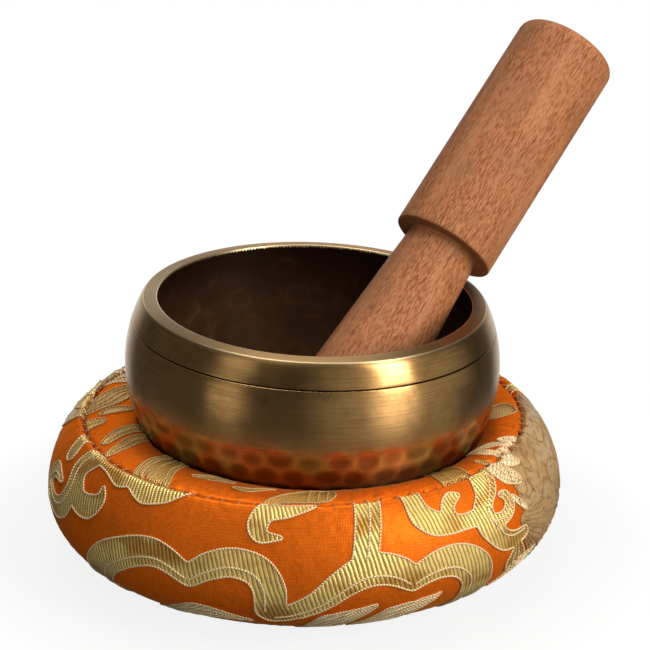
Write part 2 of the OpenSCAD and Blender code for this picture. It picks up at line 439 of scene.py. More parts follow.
@dataclass(frozen=True)
class WovenGold:
    """Metal thread of the pattern, floating in slanted ribs."""

    name: str = "woven_gold"
    shine: Colour = (1.0, 0.74, 0.24)
    shade: Colour = (0.16, 0.055, 0.008)
    tarnish: Colour = (0.56, 0.25, 0.04)
    metal: float = 0.55
    rib_pitch: float = 0.95
    rib_slant: float = 0.28
    float_pitch: float = 0.46
    wear: float = 0.15
    relief_depth: float = 0.18

    def material(self) -> Material:
        """Builds the material."""
        shader = Shader(self.name)
        across, along = shader.flat_cloth()
        wander = shader.cloth_noise((0.35, 0.35), 0.0, 2.0, 0.5)
        rib = (across - along * self.rib_slant + wander * 0.5).wave(self.rib_pitch)
        floats = (along + across * 0.3).wave(self.float_pitch)
        tone = shader.cloth_noise((0.07, 0.12), 3.0, 2.0, 0.5)
        flecks = shader.cloth_noise((0.4, 0.7), 7.0, 4.0, 0.75)
        dark = rib.step(0.46, 0.13) * (0.4 + floats * 0.6)
        colour = shader.layered(
            self.shine,
            (tone.step(0.46, 0.66) * 0.85, self.tarnish),
            (flecks.step(0.46, 0.64) * self.wear, self.shade),
            (dark * 0.9, self.shade),
        )
        return shader.dress(
            Base_Color=colour,
            Metallic=self.metal,
            Roughness=0.28 + dark * 0.25,
            Specular_IOR_Level=0.2,
            Normal=shader.bump(rib * 0.8 + floats * 0.2, self.relief_depth, 0.8),
        )


@dataclass(frozen=True)
class TwistedThread:
    """Thread with a visible twist, for outlines and stitches."""

    name: str
    light: Colour
    dark: Colour
    twist_pitch: float = 0.5
    metal: float = 0.0
    fuzz_size: float = 0.3
    relief_depth: float = 0.08

    def material(self) -> Material:
        """Builds the material."""
        shader = Shader(self.name)
        along, across = shader.flat_cloth()
        twist = (along + across * self.twist_pitch).wave(self.twist_pitch)
        fuzz = shader.spots(shader.own_place(), self.fuzz_size, 2.0, 0.6)
        colour = shader.mix(twist.step(0.55, 0.15) * 0.85 + fuzz * 0.15, self.light, self.dark)
        return shader.dress(
            Base_Color=colour,
            Metallic=self.metal,
            Roughness=0.5 + fuzz * 0.15,
            Normal=shader.bump(twist, self.relief_depth, 0.8),
        )


def ring_faces(rows: int, columns: int, flip: bool = False) -> Array:
    """Quads of a grid that closes around.

    Args:
        rows: number of rings.
        columns: points of each ring.
        flip: turns the faces over.

    Returns:
        Corners of each quad.
    """
    row, column = np.meshgrid(np.arange(rows - 1), np.arange(columns), indexing="ij")
    here, beside = row * columns + column, row * columns + (column + 1) % columns
    quads = np.stack([here, beside, beside + columns, here + columns], -1).reshape(-1, 4)
    return quads[:, ::-1] if flip else quads


def fan_faces(first: int, columns: int, centre: int, flip: bool = False) -> list[list[int]]:
    """Triangles from a ring to its centre point."""
    faces = [[first + (k + 1) % columns, first + k, centre] for k in range(columns)]
    return [f[::-1] for f in faces] if flip else faces


def turns_of(columns: int) -> Array:
    """Turns of the points of a ring."""
    return np.arange(columns) * FULL_TURN / columns


def turn_apart(turns: Array, turn: float) -> Array:
    """Turns as seen from one of them, between minus and plus half a turn."""
    return (turns - turn + math.pi) % FULL_TURN - math.pi


def around(columns: int) -> Array:
    """Unit vectors of the turns of a ring, from the front towards the right."""
    turns = turns_of(columns)
    return np.stack([np.sin(turns), -np.cos(turns), np.zeros(columns)], -1)


def turned(section: Array, columns: int) -> Array:
    """Points of a half section, the same or another one for each turn, around the upright axis."""
    return section[..., :1] * around(columns) + section[..., 1:] * UP


def unit(vectors: Array) -> Array:
    """Vectors of length 1."""
    return vectors / np.maximum(np.linalg.norm(vectors, axis=-1, keepdims=True), TINY)


def run_along(line: Array) -> Array:
    """Distance of each point from the first along a line."""
    return np.r_[0, np.cumsum(np.linalg.norm(np.diff(line, axis=0), axis=1))]


def arc(centre: Point, radius: float, degrees: Array | float) -> Array:
    """Points of an arc of a half section, by their angles above its outward axis."""
    angles = np.radians(degrees)
    return np.array(centre) + radius * np.stack([np.cos(angles), np.sin(angles)], -1)


def ellipse_height(radius: float, height: float, core: float, half_width: float) -> float:
    """Vertical half axis of an ellipse around a core radius that passes a point."""
    return height / math.sqrt(1 - ((radius - core) / half_width) ** 2)


class Piece:
    """Mesh parts that become one object of the scene."""

    def __init__(self, name: str) -> None:
        """Starts an empty piece."""
        self.name = name
        self.points: list[Array] = []
        self.faces: list[list[int]] = []
        self.flat: list[Array] = []
        self.count = 0

    def add(self, points: Array, faces: Array | list, flat: Array | None = None) -> None:
        """Adds a patch.

        Args:
            points: places in millimetres.
            faces: corners of each face, counted from the patch's first point.
            flat: flat-cloth coordinates of every face corner in order, if any.
        """
        if isinstance(faces, Array):
            self.faces.extend((faces + self.count).tolist())
        else:
            self.faces.extend([corner + self.count for corner in face] for face in faces)
        self.points.append(np.reshape(points, (-1, 3)))
        self.count += len(self.points[-1])
        if flat is not None:
            self.flat.append(np.reshape(flat, (-1, 2)))

    def fan(self, ring: int, columns: int, centre: Array, flip: bool = False) -> None:
        """Closes a ring, given by the number of its first point, with triangles to a new point."""
        flat = np.zeros((3 * columns, 2)) if self.flat else None
        self.add(centre, fan_faces(ring - self.count, columns, 0, flip), flat)

    def tube(self, sections: Array, step: float, closed: bool = False) -> None:
        """Adds a thread.

        Args:
            sections: points of its sections in order.
            step: length on the flat map from one section to the next.
            closed: whether it ends where it begins; if not, its ends are capped.
        """
        count, sides = sections.shape[:2]
        total, rows = count * sides, count + closed
        row, side = np.divmod(np.arange((rows - 1) * sides), sides)
        along = np.stack([row, row, row + 1, row + 1], -1) * step
        turn = np.stack([side, side + 1, side + 1, side], -1) / sides
        quads = ring_faces(rows, sides, flip=True) % total
        self.add(sections, quads, np.stack([along, turn], -1)[:, ::-1])
        if not closed:
            caps = [[i - total for i in reversed(range(sides))], [i - sides for i in range(sides)]]
            self.add(np.empty((0, 3)), caps, np.zeros((2 * sides, 2)))

    def build(
        self,
        material: Material,
        body: Body,
        slot: Slot,
        paint: dict[str, Array] | None = None,
        place: Matrix | None = None,
    ) -> bpy.types.Object:
        """Makes the object, dresses it and lets it ride.

        Args:
            material: its finish.
            body: body that it moves with.
            slot: not used.
            paint: values of each point, by attribute name.
            place: where the axes lie that it was turned around, in metres.

        Returns:
            The new object.
        """
        mesh = bpy.data.meshes.new(self.name)
        own = np.concatenate(self.points) * MM
        placed = own if place is None else own @ np.array(place)[:3, :3].T + np.array(place)[:3, 3]
        mesh.from_pydata(placed.tolist(), [], self.faces)
        if place is not None:
            axes = mesh.attributes.new(TURNED, "FLOAT_VECTOR", "POINT")
            axes.data.foreach_set("vector", own.astype(np.float32).ravel())
        if self.flat:
            layer = mesh.uv_layers.new(name=FLAT_MAP)
            layer.uv.foreach_set("vector", np.concatenate(self.flat).astype(np.float32).ravel())
        for name, values in (paint or {}).items():
            attribute = mesh.attributes.new(name, "FLOAT", "POINT")
            attribute.data.foreach_set("value", np.ravel(values).astype(np.float32))
        mesh.materials.append(material)
        mesh.shade_smooth()
        mesh.update()
        piece = bpy.data.objects.new(self.name, mesh)
        bpy.context.scene.collection.objects.link(piece)
        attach(piece, body.value)
        log.info("%s: %d points, %d faces", self.name, len(mesh.vertices), len(mesh.polygons))
        return piece


@dataclass
class Bowl:
    """The bowl: flat lip, turned groove, hammered lower body and dark inside."""

    diameter: float = 80.0
    height: float = 37.5
    rim_diameter: float = 73.0
    foot_diameter: float = 44.0
    belly_height: float = 23.5
    wall: float = 3.0
    floor: float = 2.0
    foot_rings: tuple[float, ...] = (1.0, 9.0, 16.0, 20.5)
    floor_rings: tuple[float, ...] = (19.0, 13.0, 7.0, 1.0)
    lip_width: float = 3.1
    lip_rise: float = 0.25
    groove_drop: float = 5.2
    groove_width: float = 0.32
    groove_depth: float = 0.35
    groove_clear: float = 0.3
    # Painted highlight on the groove's lower edge, as a share of the bright edge colour.
    groove_highlight: float = 0.3
    edge_bevel: float = 0.22
    tooth_count: int = 280
    tooth_shape: Triple = (0.0, 1.0, 0.45)
    tooth_bite: Point = (0.35, 1.0)
    tooth_drop: float = 0.5
    hammered_to: float = 18.6
    hammered_blend: float = 1.6
    # Painted shade towards the cushion: the height where it starts and how far down it deepens.
    contact_shade_from: float = 15.0
    contact_shade_reach: float = 8.0
    # Painted light inside: where it starts below the lip and how far down it grows.
    painted_light_below_lip: float = 4.0
    painted_light_reach: float = 24.0
    dimple_rows: tuple[float, ...] = (16.6, 12.4, 8.4, 4.8, 1.8)
    dimple_pitch: float = 5.9
    dimple_size: Point = (3.3, 2.6)
    dimple_stray: Point = (0.06, 0.3)
    dimple_range: Point = (0.86, 1.14)
    dimple_force: Point = (0.7, 1.0)
    dimple_depth: float = 0.26
    inner_rows: tuple[float, ...] = (30.0, 24.0, 17.5, 11.0, 6.0, 3.2)
    inner_growth: float = 1.15
    inner_mark_depth: float = 0.2
    seat_height: float = 18.4
    lean_degrees: float = 2.2
    shift: float = 1.0
    seed: int = 5

    @property
    def lip_radius(self) -> float:
        """Inner radius of the lip."""
        return self.rim_diameter / 2 - self.lip_width

    @property
    def lip_top(self) -> float:
        """Height of the lip's inner edge."""
        return self.height + self.lip_rise

    def place(self) -> Matrix:
        """Where the bowl sits on its cushion, in metres."""
        lean = Matrix.Rotation(math.radians(self.lean_degrees), 4, "Y")
        return Matrix.Translation((self.shift * MM, 0, self.seat_height * MM)) @ lean

    def outer_curve(self, share: Array) -> Array:
        """Outside below the belly (share 0 to 1) and above it up to the rim (1 to 2)."""
        return self._curve(share, self.diameter / 2, 0.0, self.rim_diameter / 2, self.height)

    def inner_curve(self, share: Array) -> Array:
        """Inside below the belly (share 0 to 1) and above it up to the lip (1 to 2)."""
        return self._curve(share, self.diameter / 2 - self.wall, self.floor, self.lip_radius, self.lip_top)

    def _curve(self, share: Array, widest: float, bottom: float, top_radius: float, top: float) -> Array:
        """Radius and height along one face of the wall.

        Args:
            share: places along the curve, from 0 at the foot over 1 at the belly to 2 at the top.
            widest: radius at the belly.
            bottom: height at the foot.
            top_radius: radius at the top.
            top: height at the top.

        Returns:
            Radius and height for each place.
        """
        core = self.foot_diameter / 2
        half_width = widest - core
        belly = self.belly_height
        low = belly - bottom
        high = ellipse_height(top_radius, top - belly, core, half_width)
        low_angle = np.clip(share, 0, 1) * math.pi / 2
        high_angle = np.clip(share - 1, 0, 1) * math.acos((top_radius - core) / half_width)
        radius = core + half_width * np.where(share < 1, np.sin(low_angle), np.cos(high_angle))
        height = belly + np.where(share < 1, -low * np.cos(low_angle), high * np.sin(high_angle))
        return np.stack([radius, height], -1)

    def _groove(self) -> tuple[Array, Array]:
        """Rings of the turned groove from below upwards, and how much painted shade each takes."""
        middle, half = self.height - self.groove_drop, self.groove_width / 2
        rise = np.array([-1.5, -1.05, -0.9, -0.6, 0.5, 0.9, 1.05, 1.5]) * half + middle
        share = np.array([0.0, 0.05, 0.7, 1.0, 1.0, 0.75, 0.08, 0.0])
        curve = self.outer_curve(np.linspace(1, 2, 400))
        outside = np.interp(rise, curve[:, 1], curve[:, 0])
        return np.stack([outside - share * self.groove_depth, rise], -1), np.clip(share * 1.4 - 0.1, 0, 1)

    def _lip(self) -> tuple[Array, Array]:
        """Rings over the lip from outside inwards, and how much bright edge colour each takes, which is
        partly wear and partly painted highlight.
        """
        rim, inner, bevel = self.rim_diameter / 2, self.lip_radius, self.edge_bevel
        outer_top, inner_top, rise = self.height, self.lip_top, self.lip_rise
        rings = [
            (rim + bevel * 0.45, outer_top - bevel * 1.5, 0.0),
            (rim, outer_top - bevel, 0.5),
            (rim - bevel * 0.3, outer_top - bevel * 0.3, 1.0),
            (rim - bevel, outer_top, 0.5),
            (rim - bevel * 1.5, outer_top + rise * 0.1, 0.0),
            (rim - 1.2, outer_top + rise * 0.4, 0.0),
            (inner + 1.0, inner_top - rise * 0.2, 0.0),
            (inner + bevel * 1.5, inner_top, 0.0),
            (inner + bevel, inner_top, 0.6),
            (inner + bevel * 0.25, inner_top - bevel * 0.3, 1.0),
            (inner, inner_top - bevel, 0.8),
            (inner + 0.005, inner_top - bevel - 0.06, 0.0),
        ]
        return np.array(rings)[:, :2], np.array(rings)[:, 2]

    def profile(self) -> tuple[Array, dict[str, Array]]:
        """Half section from the foot's middle, up the outside and down the inside.

        Returns:
            Radius and height of each ring, and how much of each finish, painted shade, painted highlight and
            painted light it has.
        """
        high = self.outer_curve(np.linspace(1.08, 2, 14))[:-1]
        groove, groove_shade = self._groove()
        lip, rim_wear_and_highlight = self._lip()
        parts = {
            "foot": np.array([[radius, 0.0] for radius in self.foot_rings]),
            "low": self.outer_curve(np.linspace(0, 1, 40)),
            "below": high[high[:, 1] < groove[0, 1] - self.groove_clear],
            "groove": groove,
            "above": high[high[:, 1] > groove[-1, 1] + self.groove_clear],
            "lip": lip,
            "inner": self.inner_curve(np.r_[np.linspace(1.88, 1.05, 9), np.linspace(1.0, 0, 24)]),
            "floor": np.array([[radius, self.floor] for radius in self.floor_rings]),
        }
        rings = np.concatenate(list(parts.values()))
        part = np.repeat(list(parts), [len(rows) for rows in parts.values()])
        level = rings[:, 1]
        outside = np.isin(part, ["foot", "low"])
        dark, edge = np.zeros(len(rings)), np.zeros(len(rings))
        dark[part == "groove"] = groove_shade
        edge[part == "lip"] = rim_wear_and_highlight
        # Painted highlight on the groove's lower edge.
        edge[np.flatnonzero(part == "groove")[1]] = self.groove_highlight
        inside = np.isin(part, ["inner", "floor"]) * 1.0
        inside[np.flatnonzero(part == "lip")[-1]] = 1.0
        below_lip = self.lip_top - self.painted_light_below_lip - level
        return rings, {
            # Share of painted shade in the groove.
            "groove": dark,
            "hammered": outside * np.clip((self.hammered_to - level) / self.hammered_blend, 0, 1),
            # Share of painted shade towards the cushion, growing downwards.
            "low": outside * np.clip((self.contact_shade_from - level) / self.contact_shade_reach, 0, 1),
            "lip": (part == "lip") * 1.0,
            # Share of bright edge colour: partly wear, partly painted highlight.
            "edge": edge,
            "inside": inside,
            # Share of painted light inside, growing towards the floor.
            "depth": inside * np.clip(below_lip / self.painted_light_reach, 0, 1),
        }

    def _hammer(self, rings: Array, columns: int, finish: dict[str, Array]) -> Array:
        """Depth of the hammer marks at each point.

        Args:
            rings: radius and height of each ring.
            columns: points of each ring.
            finish: finish shares of each ring.

        Returns:
            Depth between 0 and 1 for each ring and turn.
        """
        draw = np.random.default_rng(self.seed)
        turns = turns_of(columns)
        depth = np.zeros((len(rings), columns))
        run = run_along(rings)
        outside, inside = (np.flatnonzero(finish[name] > 0) for name in ("hammered", "inside"))
        zones = ((outside, self.dimple_rows, 1.0), (inside, self.inner_rows, self.inner_growth))
        for rows, levels, grow in zones:
            for number, level in enumerate(levels):
                ring = rows[np.argmin(np.abs(rings[rows, 1] - level))]
                count = max(5, round(FULL_TURN * rings[ring, 0] / (self.dimple_pitch * grow)))
                for k in range(count):
                    place = k + 0.5 * (number % 2) + draw.normal(0, self.dimple_stray[0])
                    drop = draw.normal(0, self.dimple_stray[1])
                    wide, tall = (size * grow * draw.uniform(*self.dimple_range) for size in self.dimple_size)
                    force = draw.uniform(*self.dimple_force)
                    local = rows[np.abs(run[rows] - run[ring]) < 2 * tall]
                    sideways = turn_apart(turns, place * FULL_TURN / count)
                    dx = sideways[None, :] * rings[local, 0][:, None] / wide
                    dy = ((run[local] - run[ring] - drop) / tall)[:, None]
                    mark = force * np.clip(1 - dx**2 - dy**2, 0, None) ** 1.2
                    depth[local] = np.maximum(depth[local], mark)
        return depth

    def build(self) -> None:
        """Builds the bowl and lets it stand for its solid."""
        columns = len(self.tooth_shape) * self.tooth_count
        rings, finish = self.profile()
        marks = self._hammer(rings, columns, finish)
        step = np.gradient(rings, axis=0)
        normal = unit(np.stack([step[:, 1], -step[:, 0]], -1))
        depth = np.where(finish["inside"] > 0, self.inner_mark_depth, self.dimple_depth)
        sunk = rings[:, None] - normal[:, None] * (marks * depth[:, None])[..., None]
        bite = np.random.default_rng(self.seed + 1).uniform(*self.tooth_bite, self.tooth_count)
        chatter = np.clip(0.35 - 0.65 * np.cos(turns_of(columns)), 0.08, 1)
        brink = int(np.flatnonzero(finish["inside"] > 0)[0]) - 1
        sunk[brink:brink + 2, :, 1] -= np.outer(bite, self.tooth_shape).ravel() * chatter * self.tooth_drop
        piece = Piece("bowl_hammered")
        piece.add(turned(sunk, columns), ring_faces(len(rings), columns))
        piece.fan(0, columns, UP * 0)
        piece.fan((len(rings) - 1) * columns, columns, UP * self.floor, flip=True)
        paint = {"dimple": np.r_[marks.ravel(), 0.0, 0.0]}
        for name, shares in finish.items():
            paint[name] = np.r_[np.repeat(shares, columns), shares[0], shares[-1]]
        made = piece.build(AgedBrass().material(), Body.BOWL, Slot.BOWL_METAL, paint, self.place())
        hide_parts("bowl")


@dataclass
class Striker:
    """The striker: one turned stick with a thick head and a flared handle."""

    head_diameter: float = 22.7
    head_length: float = 55.4
    head_round: float = 2.4
    head_dome: float = 1.0
    neck_diameter: float = 16.0
    handle_end_diameter: float = 23.2
    handle_length: float = 52.5
    handle_round: float = 1.5
    shoulder: Triple = (27.11, 11.62, 46.16)
    rise_degrees: float = 43.36
    turn_degrees: float = 47.2
    edge_bevel: float = 0.35
    end_rings: Point = (2.0, 7.0)
    columns: int = 160

    def place(self, bowl: Bowl) -> Matrix:
        """Where the striker leans in the bowl, in metres."""
        spin = Matrix.Rotation(math.radians(self.turn_degrees), 4, "Z")
        tip = Matrix.Rotation(math.radians(90 - self.rise_degrees), 4, "Y")
        return bowl.place() @ Matrix.Translation(Vector(self.shoulder) * MM) @ spin @ tip

    def profile(self) -> tuple[Array, Array]:
        """Half section from the handle's end to the head's end, and the share of each ring in the darker
        shoulder colour.
        """
        head, neck, end = self.head_diameter / 2, self.neck_diameter / 2, self.handle_end_diameter / 2
        bevel, bottom = self.edge_bevel, -self.handle_length
        crown_start = self.head_length - self.head_dome - self.head_round
        start = np.array([[radius, bottom] for radius in self.end_rings])
        foot_centre = (end - self.handle_round, bottom + self.handle_round)
        foot = arc(foot_centre, self.handle_round, np.linspace(-90, 0, 8))
        share = np.linspace(0.04, 0.985, 24)
        handle = np.stack([end + (neck - end) * share, bottom * (1 - share)], -1)
        shoulder = np.array([
            [neck + 0.02, -0.10], [neck + 0.15, 0.0], [neck + 1.2, 0.0], [head - 1.0, 0.0],
            [head - bevel, 0.0], [head - bevel * 0.3, bevel * 0.3], [head, bevel],
        ])
        side = np.stack([np.full(26, head), np.linspace(1.2, crown_start, 26)], -1)
        crown = arc((head - self.head_round, crown_start), self.head_round, np.linspace(8, 75, 9))
        out, up = crown[-1]
        inwards = np.linspace(0.85, 0.1, 7)
        dome = np.stack([out * inwards, self.head_length - (self.head_length - up) * inwards**2], -1)
        parts = [start, foot, handle, shoulder, side, crown, dome]
        scorch = np.zeros(sum(map(len, parts)))
        begin = len(start) + len(foot) + len(handle)
        scorch[begin:begin + len(shoulder)] = [0.55, 0.9, 1.0, 1.0, 0.9, 0.3, 0.0]
        return np.concatenate(parts), scorch

    def build(self, bowl: Bowl) -> None:
        """Builds the striker and lets it stand for its solid."""
        rings, scorch = self.profile()
        columns = self.columns
        piece = Piece("striker_turned")
        piece.add(turned(rings[:, None], columns), ring_faces(len(rings), columns))
        piece.fan(0, columns, -UP * self.handle_length)
        piece.fan((len(rings) - 1) * columns, columns, UP * self.head_length, flip=True)
        paint = {"scorch": np.r_[np.repeat(scorch, columns), 0.0, 0.0]}
        made = piece.build(RedHardwood().material(), Body.STRIKER, Slot.STRIKER_WOOD, paint, self.place(bowl))
        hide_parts("striker")


class Zone(Enum):
    """Parts of the cushion's cover, from the middle of its top to the middle of its base."""

    DISH = "dish"
    CROWN = "crown"
    TOP_ROLL = "top roll"
    TOP_SEAM = "top seam"
    BAND_ROLL = "band roll"
    SIDE = "side"
    BASE_SEAM = "base seam"
    BASE = "base"


def grid_normals(points: Array) -> Array:
    """Unit normals of a grid of rings, pointing out of the cushion."""
    sideways = np.roll(points, -1, 1) - np.roll(points, 1, 1)
    onwards = np.gradient(points, axis=0)
    return unit(np.cross(onwards, sideways))


def doubled(points: Array) -> Array:
    """Grid with a smooth ring between all rings and a smooth point between all points."""
    before, after, beyond = np.roll(points, 1, 1), np.roll(points, -1, 1), np.roll(points, -2, 1)
    middle = (9 * (points + after) - before - beyond) / 16
    wide = np.stack([points, middle], 2).reshape(len(points), -1, points.shape[-1])
    padded = np.concatenate([2 * wide[:1] - wide[1:2], wide, 2 * wide[-1:] - wide[-2:-1]])
    between = (9 * (padded[1:-2] + padded[2:-1]) - padded[:-3] - padded[3:]) / 16
    rows = np.empty((2 * len(wide) - 1, *wide.shape[1:]))
    rows[::2] = wide
    rows[1::2] = between
    return rows


class Cloth:
    """One panel of the cushion's cover as a grid of rings."""

    def __init__(self, points: Array, flat: Array, belly_radius: float, polar: bool) -> None:
        """Keeps the grid.

        Args:
            points: places of each ring and turn, in millimetres.
            flat: distance of each ring on the flat cloth, from the middle or from the top seam.
            belly_radius: radius at which the band's flat length is measured.
            polar: whether the flat panel is a disc, and not a strip.
        """
        self.points = points
        self.normals = grid_normals(points)
        self.flat = flat
        self.belly_radius = belly_radius
        self.polar = polar

    def place(self, flat: Array, lift: Array | float) -> tuple[Array, Array]:
        """Finds points of the flat cloth on the sewn panel.

        Args:
            flat: flat-cloth coordinates.
            lift: distance above the cloth.

        Returns:
            Places and normals.
        """
        if self.polar:
            turn, run = np.arctan2(flat[:, 0], -flat[:, 1]), np.hypot(flat[:, 0], flat[:, 1])
        else:
            turn, run = flat[:, 0] / self.belly_radius, flat[:, 1]
        rows, columns = self.points.shape[:2]
        column = (turn / FULL_TURN * columns) % columns
        row = np.interp(run, self.flat, np.arange(rows))
        r0 = np.clip(row.astype(int), 0, rows - 2)
        c0 = column.astype(int) % columns
        c1 = (c0 + 1) % columns
        fr, fc = (row - r0)[:, None], (column - np.floor(column))[:, None]

        def blend(grid: Array) -> Array:
            """Value of a grid between its points."""
            near = grid[r0, c0] * (1 - fc) + grid[r0, c1] * fc
            far = grid[r0 + 1, c0] * (1 - fc) + grid[r0 + 1, c1] * fc
            return near * (1 - fr) + far * fr

        normal = unit(blend(self.normals))
        return blend(self.points) + normal * np.reshape(lift, (-1, 1)), normal

    def corners(self) -> Array:
        """Flat-cloth coordinates of the corners of every quad, in order."""
        rows, columns = self.points.shape[:2]
        row, column = np.meshgrid(np.arange(rows - 1), np.arange(columns), indexing="ij")
        corner_rows = np.stack([row, row, row + 1, row + 1], -1)
        corner_columns = np.stack([column, column + 1, column + 1, column], -1)
        run = self.flat[corner_rows]
        turn = corner_columns * FULL_TURN / columns
        if self.polar:
            return np.stack([run * np.sin(turn), -run * np.cos(turn)], -1)
        return np.stack([turn * self.belly_radius, run], -1)


@dataclass(frozen=True)
class Crease:
    """A crease that runs from the top seam into the cloth on one side of it."""

    turn: float
    side: int
    length: float
    width: float
    depth: float
    slant: float
    root: float = 0.7

    def relief(self, turns: Array, beyond: Array, seam_radius: float) -> Array:
        """Height of the crease over a grid of rings and turns.

        Args:
            turns: turn of each column.
            beyond: distance of each ring from the seam, negative on the top panel.
            seam_radius: radius of the seam.

        Returns:
            Push along the normal for each ring and turn.
        """
        away = beyond * self.side
        fade = np.where(away >= 0, np.clip(1 - away / self.length, 0, 1) ** 1.5, 0)
        fade = fade * np.clip(away / self.root, 0, 1)
        sideways = turn_apart(turns, self.turn)
        across = (sideways[None, :] * seam_radius - self.slant * away[:, None]) / self.width
        valley = np.exp(-(across**2)) - 0.45 * np.exp(-((np.abs(across) - 1.7) ** 2))
        return -self.depth * valley * fade[:, None]


@dataclass(frozen=True)
class ClothSolver:
    """Settings of the swelling cover's cloth modifier, under the names that they have there."""

    quality: int = 6
    mass: float = 0.2
    tension_stiffness: float = 20.0
    compression_stiffness: float = 12.0
    shear_stiffness: float = 8.0
    bending_stiffness: float = 0.15
    air_damping: float = 3.0
    use_pressure: bool = True
    uniform_pressure_force: float = 3.0


@dataclass
class Cushion:
    """The stuffed cushion: top panel, band and base panel, sewn along two seams."""

    bowl: Bowl
    solver: ClothSolver = ClothSolver()
    solver_scale: float = 10.0
    frames: int = 20
    unevenness: float = 0.04
    swell_cap: float = 0.32
    diameter: float = 110.5
    height: float = 29.6
    swell_height: float = 14.5
    swell_width: float = 19.6
    top_seam_diameter: float = 94.0
    base_seam_diameter: float = 86.0
    cloth: float = 0.6
    middle_radius: float = 1.2
    dish_radii: tuple[float, ...] = (6.0, 11.0, 16.0, 20.0)
    base_radii: tuple[float, ...] = (36.0, 27.0, 17.0, 8.0)
    base_tuck: tuple[Point, ...] = ((0.5, 0.35), (1.2, 0.06))
    base_seam_level: float = 1.0
    roll_radius: float = 1.0
    inner_roll_degrees: tuple[float, ...] = (45, 0, -40)
    outer_roll_degrees: tuple[float, ...] = (220, 180, 135, 90)
    side_from_degrees: float = 50
    crown: float = 0.8
    seat_edge: float = 10.0
    seat_clearance: float = 0.45
    seam_gap: float = 0.3
    seam_depth: float = 2.0
    seam_allowance: float = 1.5
    columns: int = 300
    seed: int = 11
    stitch_count: int = TOP_STITCHES
    loose_creases: int = 60
    bunch_turn: float = 62.0
    bunch_spread: float = 9.0
    bunch_creases: int = 22
    broad_depth: float = 0.3
    broad_reach: float = 34.0
    broad_swings: tuple[int, int] = (2, 9)
    zones: list[Zone] = field(default_factory=list)

    @property
    def belly_radius(self) -> float:
        """Radius of the cushion's widest place."""
        return self.diameter / 2

    def _seated(self, radius: float, height: float) -> Array:
        """Ring of the bowl's own frame, seen from the table."""
        ring = self._ring(radius, height)
        place = np.array(self.bowl.place())
        return ring @ place[:3, :3].T + place[:3, 3] / MM

    def _dish(self) -> list[Array]:
        """Rings below the bowl, from the middle to where the cloth leaves the bowl."""
        core = self.bowl.foot_diameter / 2
        half_width = self.bowl.diameter / 2 - core
        belly = self.bowl.belly_height
        radii = (self.middle_radius, *self.dish_radii)
        rings = [self._seated(radius, -self.seat_clearance) for radius in radii]
        for angle in np.linspace(0, math.acos(1 - self.seat_edge / belly), 9):
            normal = np.array([math.sin(angle) / half_width, -math.cos(angle) / belly])
            normal *= self.seat_clearance / np.linalg.norm(normal)
            spot = np.array([core + half_width * math.sin(angle), belly * (1 - math.cos(angle))])
            rings.append(self._seated(*(spot + normal)))
        return rings

    def _ring(self, radius: float, height: float) -> Array:
        """Level ring around the cushion's axis."""
        return around(self.columns) * radius + UP * height

    def rings(self) -> Array:
        """All rings of the sewn cover before it swells; zones are noted beside them."""
        seam, base = self.top_seam_diameter / 2, self.base_seam_diameter / 2
        roll, half_gap = self.roll_radius, self.seam_gap / 2
        inner_roll = (seam - half_gap - roll, self.height - roll)
        outer_roll = (seam + half_gap + roll, self.height - roll)
        core = self.belly_radius - self.swell_width
        made: list[tuple[Zone, Array]] = [(Zone.DISH, ring) for ring in self._dish()]
        edge = made[-1][1]
        top = self._ring(inner_roll[0], self.height)
        for share in np.linspace(0, 1, 10)[1:]:
            swell = UP * self.crown * math.sin(math.pi * share)
            made.append((Zone.CROWN, edge * (1 - share) + top * share + swell))
        for degrees in self.inner_roll_degrees:
            made.append((Zone.TOP_ROLL, self._ring(*arc(inner_roll, roll, degrees))))
        made.append((Zone.TOP_SEAM, self._ring(seam, self.height - self.seam_depth)))
        for degrees in self.outer_roll_degrees:
            made.append((Zone.BAND_ROLL, self._ring(*arc(outer_roll, roll, degrees))))
        meet = arc(outer_roll, roll, self.side_from_degrees)
        high = ellipse_height(meet[0], meet[1] - self.swell_height, core, self.swell_width)
        start = math.acos((meet[0] - core) / self.swell_width)
        stop = -math.acos((base + half_gap - core) / self.swell_width)
        for angle in np.linspace(start, stop, 28):
            half = high if angle > 0 else self.swell_height
            level = self.swell_height + half * math.sin(angle)
            made.append((Zone.SIDE, self._ring(core + self.swell_width * math.cos(angle), level)))
        made.append((Zone.BASE_SEAM, self._ring(base - 0.1, self.base_seam_level)))
        under = [(base - inwards, level) for inwards, level in self.base_tuck]
        under += [(radius, 0.0) for radius in (*self.base_radii, self.middle_radius)]
        for radius, level in under:
            made.append((Zone.BASE, self._ring(radius, level)))
        self.zones = [zone for zone, _ in made]
        return np.stack([ring for _, ring in made])

    def _noise_around(self, draw: np.random.Generator, columns: int, low: int, high: int) -> Array:
        """Smooth random wave around the cushion, made of whole numbers of swings."""
        turns = turns_of(columns)
        swings = np.arange(low, high)
        phase = draw.uniform(0, FULL_TURN, len(swings))
        weight = draw.normal(0, 1, len(swings))
        wave = (weight[:, None] * np.cos(swings[:, None] * turns + phase[:, None])).sum(0)
        return wave / np.abs(wave).max()

